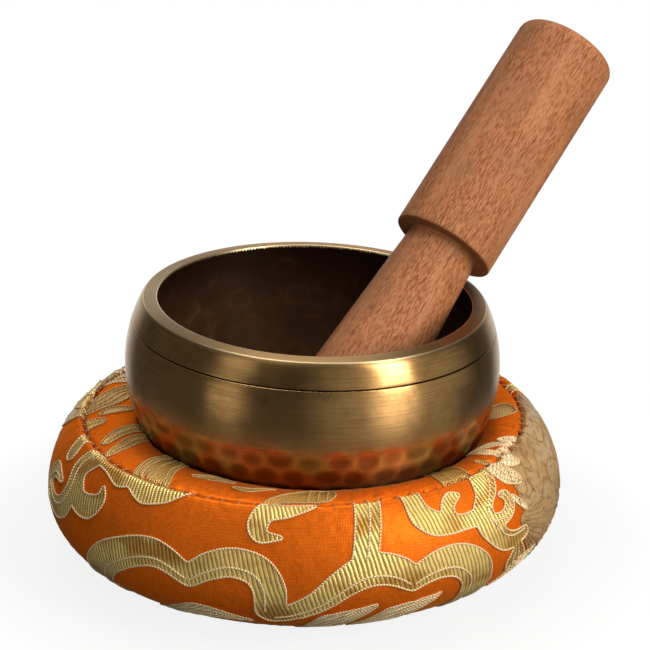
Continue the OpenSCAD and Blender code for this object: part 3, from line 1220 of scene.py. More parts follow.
    def inflate(self, rings: Array) -> Array:
        """Lets the sewn cover swell under the pressure of its filling.

        Args:
            rings: cover before it swells.

        Returns:
            The swollen cover, with each point's move capped.
        """
        draw = np.random.default_rng(self.seed)
        rows, columns = rings.shape[:2]
        stray = draw.normal(0, self.unevenness, (rows, columns, 1))
        start = rings + grid_normals(rings) * stray
        scale = MM * self.solver_scale
        points = np.concatenate([start.reshape(-1, 3), rings[[0, -1]].mean(1)]) * scale
        total = rows * columns
        faces = ring_faces(rows, columns, flip=True).tolist()
        faces += fan_faces(0, columns, total, flip=True) + fan_faces(total - columns, columns, total + 1)
        mesh = bpy.data.meshes.new("swelling_cover")
        mesh.from_pydata(points.tolist(), [], faces)
        cover = bpy.data.objects.new("swelling_cover", mesh)
        scene = bpy.context.scene
        scene.collection.objects.link(cover)
        held = cover.vertex_groups.new(name="held")
        fixed = (Zone.DISH, Zone.TOP_ROLL, Zone.TOP_SEAM, Zone.BAND_ROLL, Zone.BASE_SEAM, Zone.BASE)
        for row, zone in enumerate(self.zones):
            if zone in fixed:
                held.add(list(range(row * columns, (row + 1) * columns)), 1.0, "REPLACE")
        held.add([total, total + 1], 1.0, "REPLACE")
        cloth = cover.modifiers.new("swell", "CLOTH")
        for name, value in asdict(self.solver).items():
            setattr(cloth.settings, name, value)
        cloth.settings.vertex_group_mass = held.name
        cloth.settings.effector_weights.gravity = 0
        cloth.collision_settings.use_collision = False
        cloth.point_cache.frame_start = 1
        cloth.point_cache.frame_end = self.frames
        for number in range(1, self.frames + 1):
            scene.frame_set(number)
        swollen = cover.evaluated_get(bpy.context.evaluated_depsgraph_get())
        places = np.empty(len(points) * 3, np.float32)
        swollen.data.vertices.foreach_get("co", places)
        scene.frame_set(1)
        bpy.data.objects.remove(cover)
        bpy.data.meshes.remove(mesh)
        moved = places.reshape(-1, 3)[:total].reshape(rows, columns, 3) / scale - rings
        length = np.linalg.norm(moved, axis=-1, keepdims=True)
        capped = moved * np.minimum(1, self.swell_cap / np.maximum(length, TINY))
        log.info("cover swells by %.2f mm at most, %.2f mm on average", length.max(), length.mean())
        return rings + capped

    def creases(self) -> list[Crease]:
        """Creases at the top seam: one at every stitch, loose ones between, and a bunch at the right."""
        draw = np.random.default_rng(self.seed + 1)
        made = []
        for k in range(self.stitch_count):
            turn = k * FULL_TURN / self.stitch_count
            for side, depth in ((-1, draw.uniform(0.12, 0.3)), (1, draw.uniform(0.08, 0.22))):
                length = draw.uniform(1.4, 2.6)
                made.append(Crease(turn, side, length, width=0.5, depth=depth, slant=draw.normal(0, 0.3)))
        for _ in range(self.loose_creases):
            turn, side = draw.uniform(0, FULL_TURN), draw.choice((-1, -1, 1))
            depth = draw.uniform(0.08, 0.26) if side < 0 else draw.uniform(0.02, 0.06)
            length, width = draw.uniform(3, 8), draw.uniform(0.9, 1.6)
            made.append(Crease(turn, side, length, width, depth, draw.normal(0, 0.35)))
        for _ in range(self.bunch_creases):
            turn = math.radians(self.bunch_turn + draw.normal(0, self.bunch_spread))
            side = draw.choice((-1, 1))
            length, width, depth = draw.uniform(5, 12), draw.uniform(0.9, 1.5), draw.uniform(0.3, 0.55)
            made.append(Crease(turn, side, length, width, depth, draw.normal(0, 0.4)))
        return made

    def gather(self, rings: Array, run: Array, seam_row: int) -> Array:
        """Presses the creases into the cloth along the top seam.

        Args:
            rings: fine grid of the swollen cover.
            run: flat distance of each ring from the middle of the top.
            seam_row: ring of the top seam.

        Returns:
            The gathered grid.
        """
        draw = np.random.default_rng(self.seed + 2)
        columns = rings.shape[1]
        turns = turns_of(columns)
        beyond = run - run[seam_row]
        push = np.zeros(rings.shape[:2])
        for crease in self.creases():
            push += crease.relief(turns, beyond, self.top_seam_diameter / 2)
        broad = self.broad_depth * self._noise_around(draw, columns, *self.broad_swings)
        push += np.sin(np.clip(np.abs(beyond) / self.broad_reach, 0, 1) * math.pi)[:, None] * broad
        held = np.array([zone in (Zone.DISH, Zone.BASE, Zone.BASE_SEAM) for zone in self.zones])
        free = np.interp(np.arange(len(rings)) / 2, np.arange(len(held)), 1.0 - held)[:, None]
        return rings + grid_normals(rings) * (push * free)[..., None]

    def shell(self, name: str, cloth: Cloth) -> Piece:
        """Closed shell of a panel: its outer face, its inner face and the edges between.

        Args:
            name: name of the piece.
            cloth: the panel's outer face.

        Returns:
            The piece, not built yet.
        """
        rows, columns = cloth.points.shape[:2]
        inner = cloth.points - cloth.normals * self.cloth
        both = np.concatenate([cloth.points, inner[::-1]])
        piece = Piece(name)
        corners = cloth.corners()
        rim = np.zeros((1, columns, 4, 2))
        flat = np.concatenate([corners, rim, corners[::-1, :, [3, 2, 1, 0]]])[:, :, ::-1]
        piece.add(both, ring_faces(2 * rows, columns, flip=True), flat.reshape(-1, 2))
        return piece

    def close(self, piece: Piece, cloth: Cloth, row: int) -> None:
        """Fills the middle of a shell on both of its faces.

        Args:
            piece: shell to close.
            cloth: its panel.
            row: 0 where the first ring is the middle of the panel, -1 where the last is.
        """
        rows, columns = cloth.points.shape[:2]
        outer = 0 if row == 0 else (rows - 1) * columns
        inner = (2 * rows - 1) * columns if row == 0 else rows * columns
        middle = cloth.points[row].mean(0)
        piece.fan(outer, columns, middle, flip=row == 0)
        piece.fan(inner, columns, middle - cloth.normals[row].mean(0) * self.cloth, flip=row != 0)

    def build(self) -> tuple[Cloth, Cloth]:
        """Builds the three panels.

        Returns:
            The top panel's and the band's outer faces, for the pattern.
        """
        rings = self.rings()
        swollen = self.inflate(rings)
        fine = doubled(swollen)
        seam = 2 * self.zones.index(Zone.TOP_SEAM)
        base = 2 * self.zones.index(Zone.BASE_SEAM)
        middle = doubled(rings)
        run = np.r_[0, np.cumsum(np.linalg.norm(np.diff(middle, axis=0), axis=-1).mean(1))]
        fine = self.gather(fine, run, seam)
        fine[..., 2] = np.maximum(fine[..., 2], 0.0)
        top_run = run[:seam + 1] + self.middle_radius
        band_run = run[seam:base + 1] - run[seam] - self.seam_allowance
        under_run = run[-1] - run[base:] + self.middle_radius
        top = Cloth(fine[:seam + 1], top_run, self.belly_radius, polar=True)
        band = Cloth(fine[seam:base + 1], band_run, self.belly_radius, polar=False)
        under = Cloth(fine[base:], under_run, self.belly_radius, polar=True)
        satin = OrangeSatin().material()
        plain = OrangeSatin("plain_satin", deep=(0.36, 0.075, 0.008), bright=(0.52, 0.14, 0.016)).material()
        for name, cloth, finish, slot, nodes in (
            ("cushion_top_brocade", top, satin, Slot.BROCADE, ("cushion_top",)),
            ("cushion_band_brocade", band, satin, Slot.BROCADE, ("cushion_band", "cushion_filling")),
            ("cushion_base_cloth", under, plain, Slot.BASE_CLOTH, ("cushion_base",)),
        ):
            piece = self.shell(name, cloth)
            if cloth is top:
                self.close(piece, cloth, 0)
            elif cloth is under:
                self.close(piece, cloth, -1)
            made = piece.build(finish, Body.CUSHION, slot)
            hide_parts(*nodes)
        return top, band


@dataclass(frozen=True)
class Stroke:
    """A stroke of the woven pattern on flat cloth, with a width that changes along it."""

    points: tuple[Point, ...]
    widths: tuple[float, ...]
    rails: tuple[float, ...] = ()

    def moved(self, shift: float, scale: float = 1.0) -> "Stroke":
        """Copy that is scaled, and then shifted along the strip."""
        return replace(self, points=tuple((x * scale + shift, y * scale) for x, y in self.points))

    def sampled(self, step: float = 0.7) -> tuple[Array, Array]:
        """Smooth centre line and half widths.

        Args:
            step: distance between samples.

        Returns:
            Points and half widths.
        """
        given = np.array(self.points, float)
        padded = np.concatenate([2 * given[:1] - given[1:2], given, 2 * given[-1:] - given[-2:-1]])
        line, share = [], []
        for k in range(len(given) - 1):
            a, b, c, d = padded[k:k + 4]
            count = max(2, int(np.linalg.norm(c - b) / step) + 1)
            t = np.linspace(0, 1, count, endpoint=k == len(given) - 2)[:, None]
            bend, turn = 2 * a - 5 * b + 4 * c - d, 3 * b - a - 3 * c + d
            line.append(0.5 * (2 * b + (c - a) * t + bend * t**2 + turn * t**3))
            share.append(k + t[:, 0])
        halves = np.interp(np.concatenate(share), np.arange(len(given)), self.widths) / 2
        return np.concatenate(line), halves

    def rail(self, side: float) -> Array:
        """Line beside the centre line, at a share of the half width to its right."""
        line, halves = self.sampled(0.45)
        step = np.gradient(line, axis=0)
        return line + unit(np.stack([step[:, 1], -step[:, 0]], -1)) * (halves * side)[:, None]


class PatternField:
    """Signed distance to the figures of a pattern over flat cloth, negative inside them."""

    def __init__(self, low: Point, high: Point, step: float) -> None:
        """Starts an empty field over a rectangle."""
        self.across = np.linspace(low[0], high[0], round((high[0] - low[0]) / step) + 1)
        self.along = np.linspace(low[1], high[1], round((high[1] - low[1]) / step) + 1)
        self.values = np.full((len(self.along), len(self.across)), 9.0)

    def add(self, stroke: Stroke) -> None:
        """Adds the inside of a stroke to the figures."""
        line, halves = stroke.sampled()
        for a, b, ra, rb in zip(line[:-1], line[1:], halves[:-1], halves[1:]):
            reach = max(ra, rb) + 2.5
            columns = slice(*np.searchsorted(self.across, [min(a[0], b[0]) - reach, max(a[0], b[0]) + reach]))
            rows = slice(*np.searchsorted(self.along, [min(a[1], b[1]) - reach, max(a[1], b[1]) + reach]))
            x, y = self.across[None, columns] - a[0], self.along[rows, None] - a[1]
            dx, dy = b - a
            share = np.clip((x * dx + y * dy) / max(dx * dx + dy * dy, TINY), 0, 1)
            away = np.hypot(x - share * dx, y - share * dy) - (ra + (rb - ra) * share)
            self.values[rows, columns] = np.minimum(self.values[rows, columns], away)

    def at(self, points: Array) -> Array:
        """Value of the field at the nearest sample of each point."""

        def nearest(places: Array, samples: Array) -> Array:
            """Number of the sample nearest to each place."""
            number = np.rint((places - samples[0]) / (samples[1] - samples[0]))
            return np.clip(number, 0, len(samples) - 1).astype(int)

        return self.values[nearest(points[:, 1], self.along), nearest(points[:, 0], self.across)]

    def figures(self) -> tuple[Array, list[list[int]], list[Array]]:
        """Cuts the figures out of the field.

        Returns:
            Points and faces of the figures, and the outlines around them.
        """
        inside = self.values < 0
        points: list[Point] = []
        found: dict[tuple, int] = {}
        beside: dict[int, list[int]] = {}
        faces: list[list[int]] = []

        def corner(i: int, j: int) -> int:
            """Number of a sample's point."""
            if (i, j) not in found:
                found[i, j] = len(points)
                points.append((self.across[j], self.along[i]))
            return found[i, j]

        def crossing(a: tuple[int, int], b: tuple[int, int]) -> int:
            """Number of the point where the outline crosses between two samples."""
            key = (*min(a, b), *max(a, b))
            if key not in found:
                va, vb = self.values[a], self.values[b]
                share = va / (va - vb)
                found[key] = len(points)
                points.append((
                    self.across[a[1]] + (self.across[b[1]] - self.across[a[1]]) * share,
                    self.along[a[0]] + (self.along[b[0]] - self.along[a[0]]) * share,
                ))
            return found[key]

        touched = inside[:-1, :-1] | inside[1:, :-1] | inside[:-1, 1:] | inside[1:, 1:]
        for i, j in np.argwhere(touched):
            ring = [(i, j), (i, j + 1), (i + 1, j + 1), (i + 1, j)]
            face, cuts = [], []
            for k in range(4):
                here, then = ring[k], ring[(k + 1) % 4]
                if inside[here]:
                    face.append(corner(*here))
                if inside[here] != inside[then]:
                    cuts.append(crossing(here, then))
                    face.append(cuts[-1])
            faces.append(face)
            for a, b in zip(cuts[::2], cuts[1::2]):
                beside.setdefault(a, []).append(b)
                beside.setdefault(b, []).append(a)
        places = np.array(points)
        return places, faces, [places[line] for line in chains(beside)]


def chains(beside: dict[int, list[int]]) -> list[list[int]]:
    """Strings points together.

    Args:
        beside: neighbours of each point.

    Returns:
        Open lines and closed ones, whose first point comes again at their end.
    """
    left = {point: list(others) for point, others in beside.items()}
    lines = []
    for start in sorted(left, key=lambda point: len(left[point]) != 1):
        while left[start]:
            line = [start]
            while left[line[-1]]:
                then = left[line[-1]].pop()
                left[then].remove(line[-1])
                line.append(then)
            lines.append(line)
    return lines


def evenly(line: Array, step: float) -> Array:
    """Line with even steps, eased a little between its ends.

    Args:
        line: points of an open or closed line.
        step: wanted distance.

    Returns:
        The new points.
    """
    run = run_along(line)
    count = max(3, round(run[-1] / step) + 1)
    shares = np.linspace(0, run[-1], count)
    spread = np.stack([np.interp(shares, run, line[:, k]) for k in range(line.shape[1])], -1)
    eased = spread.copy()
    eased[1:-1] = (spread[:-2] + 2 * spread[1:-1] + spread[2:]) / 4
    if np.allclose(line[0], line[-1]):
        eased[0] = eased[-1] = (spread[-2] + 2 * spread[0] + spread[1]) / 4
    return eased


def polar(*places: Point) -> tuple[Point, ...]:
    """Points of a flat disc, given by turn in degrees and distance from its middle."""
    return tuple((r * math.sin(math.radians(t)), -r * math.cos(math.radians(t))) for t, r in places)


def lay_cord(piece: Piece, cloth: Cloth, line: Array, width: float, lift: float, sides: int = 6) -> None:
    """Lays a thread on the cloth.

    Args:
        piece: piece that it is added to.
        cloth: panel that it lies on.
        line: flat-cloth points.
        width: its width; it is a little flatter than wide.
        lift: height of its middle above the cloth.
        sides: corners of its section.
    """
    line = evenly(line, width)
    closed = bool(np.allclose(line[0], line[-1]))
    places, normals = cloth.place(line[:-1] if closed else line, lift)
    if closed:
        step = np.roll(places, -1, 0) - np.roll(places, 1, 0)
    else:
        step = np.gradient(places, axis=0)
    across = unit(np.cross(step, normals))
    angles = turns_of(sides)[:, None]
    wide, high = np.cos(angles) * width / 2, np.sin(angles) * width * 0.4
    piece.tube(places[:, None] + across[:, None] * wide + normals[:, None] * high, width, closed)


@dataclass(frozen=True)
class Relief:
    """Heights of figures and outlines above the cloth, and the outlines' width."""

    figures: float
    outlines: float
    width: float


@dataclass
class Brocade:
    """Woven gold scrolls and leaves on the cushion's top panel and band."""

    top: Cloth
    band: Cloth
    flower_shifts: tuple[float, ...] = (0.0, -198.0)
    field_step: float = 0.5
    gold_relief: Relief = Relief(0.14, 0.2, 0.42)
    leaf_relief: Relief = Relief(0.11, 0.16, 0.36)
    flower_relief: Relief = Relief(0.08, 0.13, 0.34)
    top_relief: Relief = Relief(0.1, 0.16, 0.38)
    rail_margin: float = 0.45
    back_spread: float = 0.36
    band_low: float = -0.9
    band_high: float = 36.6

    def cloud_band(self) -> list[Stroke]:
        """The wavy cloud band across the front."""
        return [
            Stroke(((-51, 34), (-51, 27), (-46, 20.5), (-39, 16.4), (-33, 14.6), (-28.5, 15.2),
                    (-23.5, 17.6)),
                   (7, 8, 7.4, 6.4, 5.8, 5.2, 4.4), (-0.4,)),
            Stroke(((-23.5, 17.6), (-19, 14.8), (-14, 13.5), (-9, 14.8), (-6.6, 18.6), (-6.6, 24.2)),
                   (4.4, 5.4, 5.8, 6.4, 6.6, 6.2), (-0.35,)),
            Stroke(((-6, 25.4), (-2, 24.4), (3, 21.6), (8, 17.6), (12, 15.4), (16, 15), (20, 16.2),
                    (23, 18.4)),
                   (5.4, 4.8, 5.2, 6, 6.6, 6.6, 6, 4.8), (-0.42,)),
            Stroke(((23, 18.4), (26, 17), (30, 16.2), (34.5, 17), (38.4, 20.2), (39.6, 25), (39, 34)),
                   (4.8, 5.4, 6.2, 7, 8, 8, 7), (-0.42,)),
        ]

    def scrolls(self) -> list[Stroke]:
        """Hooks, bars and curled scrolls of the band."""
        return [
            Stroke(((15.2, -1), (14.4, 5), (12.8, 13)), (6, 5.6, 5.2), (0.15,)),
            Stroke(((3, 1.2), (-3, 2.4), (-8, 2.8), (-9.6, 5.4), (-8.6, 7.7), (-4.2, 7.9)),
                   (0.8, 2.6, 4.2, 4.4, 2.8, 0.6)),
            Stroke(((-57, 0), (-61.5, 5), (-61, 10), (-63.5, 15), (-69, 16.6), (-75, 14), (-72.5, 10.4),
                    (-67, 10.8)),
                   (5, 6, 5.4, 5, 4.2, 4, 3.4, 1), (-0.3,)),
            Stroke(((-60.5, 7.5), (-57.5, 11.2), (-53, 11.2), (-49.9, 8.6), (-50.6, 6)), (4, 5, 5, 3, 0.8)),
            Stroke(((-58, 0), (-52, 0.8), (-47, 1.8), (-43.5, 1.6), (-38, 2.6), (-33, 2), (-27.5, 0.8)),
                   (5, 4.6, 5.6, 4, 6.4, 5, 1)),
            Stroke(((-69.5, 5), (-70.5, -1)), (3.8, 3.8)),
            Stroke(((25.2, -1), (25.8, 3), (26.5, 5.7), (29.2, 7.9), (33, 8.8), (36.5, 9.4), (41, 9.4)),
                   (4.2, 4.4, 5.2, 5, 4.2, 3, 3.4)),
            Stroke(((33, 8), (33.2, 6.3), (34, 4.9), (35.4, 4), (37.6, 3.8)), (3.2, 3.2, 3, 2.6, 0.8)),
            Stroke(((47, -1), (46, 3.2), (44.4, 5.9), (43.1, 7.6), (42.2, 9.4), (42.8, 11.6), (44.6, 14),
                    (46.8, 16.2), (50, 17.2), (54, 16.8)),
                   (7.4, 6.8, 4.6, 4.6, 5.6, 5.8, 5.2, 4.4, 3.6, 2.4), (0.5,)),
            Stroke(((43.8, 11.4), (47.2, 11.8), (49.6, 11), (50.8, 9.6), (50.4, 7.8), (48.4, 7)),
                   (3, 2.6, 2.8, 2.8, 2.2, 0.8), (0.0,)),
            Stroke(((51.5, 20), (51.5, 22.6), (52.2, 25.8)), (3.2, 6.2, 1.5), (-0.3, 0.3)),
        ]

    def low_leaves(self) -> list[Stroke]:
        """Pale leaves low on the band."""
        return [
            Stroke(((-1, 36), (6, 29.2), (15.4, 23.4)), (2, 7.4, 0.8), (-0.5, 0.0, 0.5)),
            Stroke(((12, 34), (20, 28.4), (30, 23.6)), (3, 7.6, 0.8), (-0.5, 0.0, 0.5)),
            Stroke(((-36, 33), (-23, 27.2), (-11, 28.6)), (1, 5.6, 0.8), (-0.4, 0.3)),
            Stroke(((48, 30), (53, 25.4), (60, 23)), (1, 4.6, 1), (-0.3, 0.3)),
            Stroke(((60, 32), (68, 27), (78, 24.4)), (1, 4.6, 1), (-0.3, 0.3)),
            Stroke(((52.2, 1), (53.6, 3.6), (57, 6.2)), (4.6, 5, 2.4), (-0.55, 0.0, 0.55)),
            Stroke(((55.5, -0.5), (58, 2), (61, 3.4)), (2.6, 3, 1.4), (0.0,)),
            Stroke(((52.4, 8.6), (53.8, 10.2), (56, 12.4)), (0.8, 1.4, 0.8)),
        ]

    def side_leaf(self) -> list[Stroke]:
        """Leaf at the left, where the front turns away."""
        return [Stroke(((-88.4, 0), (-93, 3.4), (-99, 5.4), (-106, 5)), (8, 9.4, 10, 8), (0.0,))]

    def flower(self) -> list[Stroke]:
        """Pale flower at the right, over the change from front to back, and the fan of feathers below it."""
        rays = (-0.5, 0.0, 0.5)
        return [
            Stroke(((61.5, 7), (68.5, 8), (78, 9.6), (88, 8), (97, 6)), (13.6, 15.6, 19.6, 16, 11)),
            Stroke(((56.4, 11), (61, 11)), (4.4, 6)),
            Stroke(((57.5, 2.6), (62, 4)), (4.4, 6)),
            Stroke(((54.4, 14.6), (62, 17), (72, 19.8), (84, 22)), (2.6, 5, 6, 5), rays),
            Stroke(((54.8, 16.6), (62, 20.6), (72, 24.6)), (2.6, 5, 7), rays),
            Stroke(((55.2, 18.6), (60, 23), (66, 28)), (2.4, 5, 6), rays),
        ]

    def flower_veins(self) -> list[Array]:
        """Lines that part the flower's petals."""
        petals = (
            ((54.2, 13), (57.6, 13.5), (62.4, 14.3), (68.5, 15.9), (78, 19.4)),
            ((71.2, 2.4), (68.3, 6.4), (64.4, 11)),
            ((70.5, 10.6), (73, 9.2), (77, 9.4), (79.8, 11.4), (77.6, 13.2), (73.6, 13.4), (70.8, 12.2),
             (70.5, 10.6)),
            ((55, 8.2), (57, 6.8), (58.9, 7.6), (58.4, 9.6), (56.2, 9.8), (55, 8.2)),
            ((60.4, 1.4), (61.8, 4.6), (60.2, 8), (61.6, 11.2)),
            ((63.4, 1.4), (65.2, 4.4), (64, 7), (61.9, 5.6)),
            ((74, 1.6), (76.4, 5), (80.8, 6.4), (85, 4.6), (83.6, 1.8)),
            ((81.6, 12), (86, 9), (90, 5.4)),
        )
        return [Stroke(points, (1.0,) * len(points)).sampled(0.4)[0] for points in petals]

    def top_leaves(self) -> list[Stroke]:
        """Leaves of the top panel around the bowl."""
        rings = (
            (((-92, 51.4), (-95.2, 49.1), (-98.6, 47.6), (-102.6, 46.7), (-107, 44.8), (-111, 41.6)),
             (5, 6.2, 6.2, 5.8, 4.9, 4.2), (-0.5, 0.0, 0.45)),
            (((-86.6, 48.4), (-89.2, 46.2), (-91.3, 44.1), (-93, 42)), (0.8, 3.2, 3, 0.6), ()),
            (((-81.8, 51.4), (-82.2, 49.4), (-82, 48.2)), (5, 4, 1.4), (0.0,)),
            (((-68.2, 48.9), (-71.4, 46.2), (-75, 43), (-77, 41)), (2.4, 3.2, 3.4, 3), (0.1,)),
            (((-61.4, 50.2), (-62.8, 47.2), (-66.5, 43.6), (-69, 41)), (2.2, 3.2, 3.4, 3), (0.1,)),
            (((-46, 51.4), (-48.6, 46.8), (-51, 41.4)), (3, 3.2, 2.6), (-0.3, 0.3)),
            (((-41, 51.4), (-45, 46.4), (-47.6, 41.4)), (2.4, 2.6, 2.4), (0.0,)),
            (((-37.4, 51), (-41.4, 46.2), (-44, 41.4)), (2.6, 2.6, 2), (0.0,)),
            (((-34, 45.8), (-28.6, 44.4), (-21.6, 44.6)), (0.8, 3, 0.8), (0.1,)),
            (((-20.4, 46.8), (-15.5, 47), (-9, 44.8)), (0.5, 1.8, 0.6), ()),
            (((-8.6, 51.2), (-5.6, 49.4), (-0.6, 48.2), (2.6, 48), (5.2, 48)), (1.6, 2.8, 5, 5.4, 5.4), ()),
            (((42.5, 51.4), (42.5, 49), (43, 46.4), (43.8, 43), (44.2, 40.6)),
             (8.4, 8, 7.2, 6.4, 5.6), (-0.3,)),
            (((54, 48.6), (55, 50), (56, 51.2)), (1.4, 1.6, 0.8), ()),
            (((93.2, 43.4), (93, 46.2), (92, 48.2)), (4.6, 7.4, 4.4), ()),
        )
        return [Stroke(polar(*places), widths, rails) for places, widths, rails in rings]

    def top_wing(self) -> list[Stroke]:
        """Pale ribbons of the top panel, beside the bunched seam."""
        rings = (
            (((63.4, 41.6), (65.6, 45), (66.8, 47.6), (67.4, 50), (69.6, 51.4)),
             (1.4, 2.4, 2.4, 2, 1.6), (0.0,)),
            (((61.6, 42.8), (60.8, 46), (61.8, 49), (64.4, 51.4)), (1.2, 2.4, 2.4, 1.8), (0.0,)),
            (((71, 48.4), (72, 51.4)), (2.4, 3.2), (0.0,)),
        )
        return [Stroke(polar(*places), widths, rails) for places, widths, rails in rings]

    def top_bars(self) -> list[Array]:
        """Lines across the front figure of the top panel."""
        bars = [polar((turn, 45.6), (turn, 48), (turn, 50.6)) for turn in (1.2, 3.8, 6.2)]
        return [Stroke(points, (1, 1, 1)).sampled(0.4)[0] for points in bars]

    def under_bowl(self) -> list[Stroke]:
        """Scrolls of the top panel that the bowl covers."""
        made = []
        for turn in range(20, 380, 60):
            hook = polar((turn, 6), (turn + 6, 14), (turn - 10, 20), (turn - 26, 17))
            made.append(Stroke(hook, (2, 4.4, 3.4, 0.8), (0.2,)))
            leaf = polar((turn + 8, 24), (turn + 26, 30), (turn + 40, 26))
            made.append(Stroke(leaf, (0.8, 4.4, 0.8), (0.1,)))
        return made

    def _spread(self, strokes: Sequence[Stroke], shifts: Sequence[float]) -> list[Stroke]:
        """Copies of strokes along the strip."""
        return [stroke.moved(shift) for stroke in strokes for shift in shifts]

    def _turned(self, strokes: Sequence[Stroke]) -> list[Stroke]:
        """Strokes of the disc, with copies of its front ones at the back."""
        behind = [
            stroke.moved(0.0, -1.0)
            for stroke in strokes
            if all(y < -abs(x) * self.back_spread for x, y in stroke.points)
        ]
        return [*strokes, *behind]

    def _field(self, cloth: Cloth) -> PatternField:
        """Empty field over a panel."""
        if cloth.polar:
            reach = float(cloth.flat[-1])
            return PatternField((-reach, -reach), (reach, reach), self.field_step)
        period = math.pi * cloth.belly_radius
        return PatternField((-period, self.band_low), (period, self.band_high), self.field_step)

    def weave(
        self,
        name: str,
        cloth: Cloth,
        strokes: Sequence[Stroke],
        extra: Sequence[Array],
        finishes: tuple[Material, Material],
        relief: Relief,
    ) -> None:
        """Weaves figures and their outlines into a panel.

        Args:
            name: start of the names of the two pieces.
            cloth: panel that they lie on.
            strokes: strokes of the figures.
            extra: further lines inside the figures.
            finishes: of the figures and of the outlines.
            relief: their heights and the width of the outlines.
        """
        pattern = self._field(cloth)
        for stroke in strokes:
            pattern.add(stroke)
        points, faces, outlines = pattern.figures()
        rails = list(extra)
        for stroke in strokes:
            for side in stroke.rails:
                rails += self._inside(stroke.rail(side), pattern)
        figures, cords = Piece(f"{name}_figures"), Piece(f"{name}_outlines")
        facing = faces if cloth.polar else [f[::-1] for f in faces]
        lifted = cloth.place(points, relief.figures)[0]
        figures.add(lifted, facing, np.concatenate([points[f] for f in facing]))
        for line in outlines + rails:
            if len(line) > 3:
                lay_cord(cords, cloth, line, relief.width, relief.outlines)
        for piece, finish in ((figures, finishes[0]), (cords, finishes[1])):
            piece.build(finish, Body.CUSHION, Slot.BROCADE)

    def _inside(self, line: Array, pattern: PatternField) -> list[Array]:
        """Stretches of a line that lie well inside the figures."""
        keep = pattern.at(line) < -self.rail_margin
        keep &= (line[:, 0] > pattern.across[0]) & (line[:, 0] < pattern.across[-1])
        cuts = np.flatnonzero(np.diff(keep.astype(int))) + 1
        stretches = zip(np.split(line, cuts), np.split(keep, cuts))
        return [part for part, kept in stretches if kept[0] and len(part) > 5]

    def build(self) -> None:
        """Builds the pattern's pieces."""
        gold = WovenGold().material()
        champagne = WovenGold(
            "woven_champagne",
            shine=(0.60, 0.40, 0.18),
            shade=(0.19, 0.09, 0.03),
            tarnish=(0.42, 0.24, 0.085),
            metal=0.25,
            rib_pitch=0.62,
            wear=0.75,
        ).material()
        soft = WovenGold(
            "soft_gold",
            shine=(0.84, 0.53, 0.15),
            shade=(0.30, 0.12, 0.02),
            tarnish=(0.56, 0.31, 0.07),
            metal=0.6,
            rib_pitch=0.62,
        ).material()
        silver = WovenGold(
            "woven_silver",
            shine=(1.0, 0.86, 0.56),
            shade=(0.36, 0.20, 0.07),
            tarnish=(0.88, 0.68, 0.38),
            metal=0.2,
            rib_pitch=1.7,
            rib_slant=-1.3,
            float_pitch=0.25,
            wear=0.4,
        ).material()
        cream = TwistedThread("cream_outline", (0.92, 0.76, 0.46), (0.42, 0.24, 0.08), 0.66, 0.1).material()
        fawn = TwistedThread("fawn_outline", (0.50, 0.31, 0.12), (0.15, 0.07, 0.02), 0.66, 0.1).material()
        dull = TwistedThread("dull_outline", (0.66, 0.46, 0.20), (0.30, 0.15, 0.04), 0.55, 0.2).material()
        period = math.pi * self.band.belly_radius
        shifts = (-period, 0, period)
        golden = self._spread(self.cloud_band() + self.scrolls(), shifts) + self.side_leaf()
        pale = self._spread(self.low_leaves(), shifts)
        flowers = self._spread(self.flower(), self.flower_shifts)
        veins = [line + [shift, 0] for line in self.flower_veins() for shift in self.flower_shifts]
        leaves = self._turned(self.top_leaves()) + self.under_bowl()
        wing = self._turned(self.top_wing())
        for name, cloth, strokes, extra, finishes, relief in (
            ("band_gold", self.band, golden, [], (gold, cream), self.gold_relief),
            ("band_leaves", self.band, pale, [], (silver, cream), self.leaf_relief),
            ("band_flower", self.band, flowers, veins, (champagne, fawn), self.flower_relief),
            ("top_gold", self.top, leaves, self.top_bars(), (soft, dull), self.top_relief),
            ("top_wing", self.top, wing, [], (silver, cream), self.top_relief),
        ):
            self.weave(name, cloth, strokes, extra, finishes, relief)


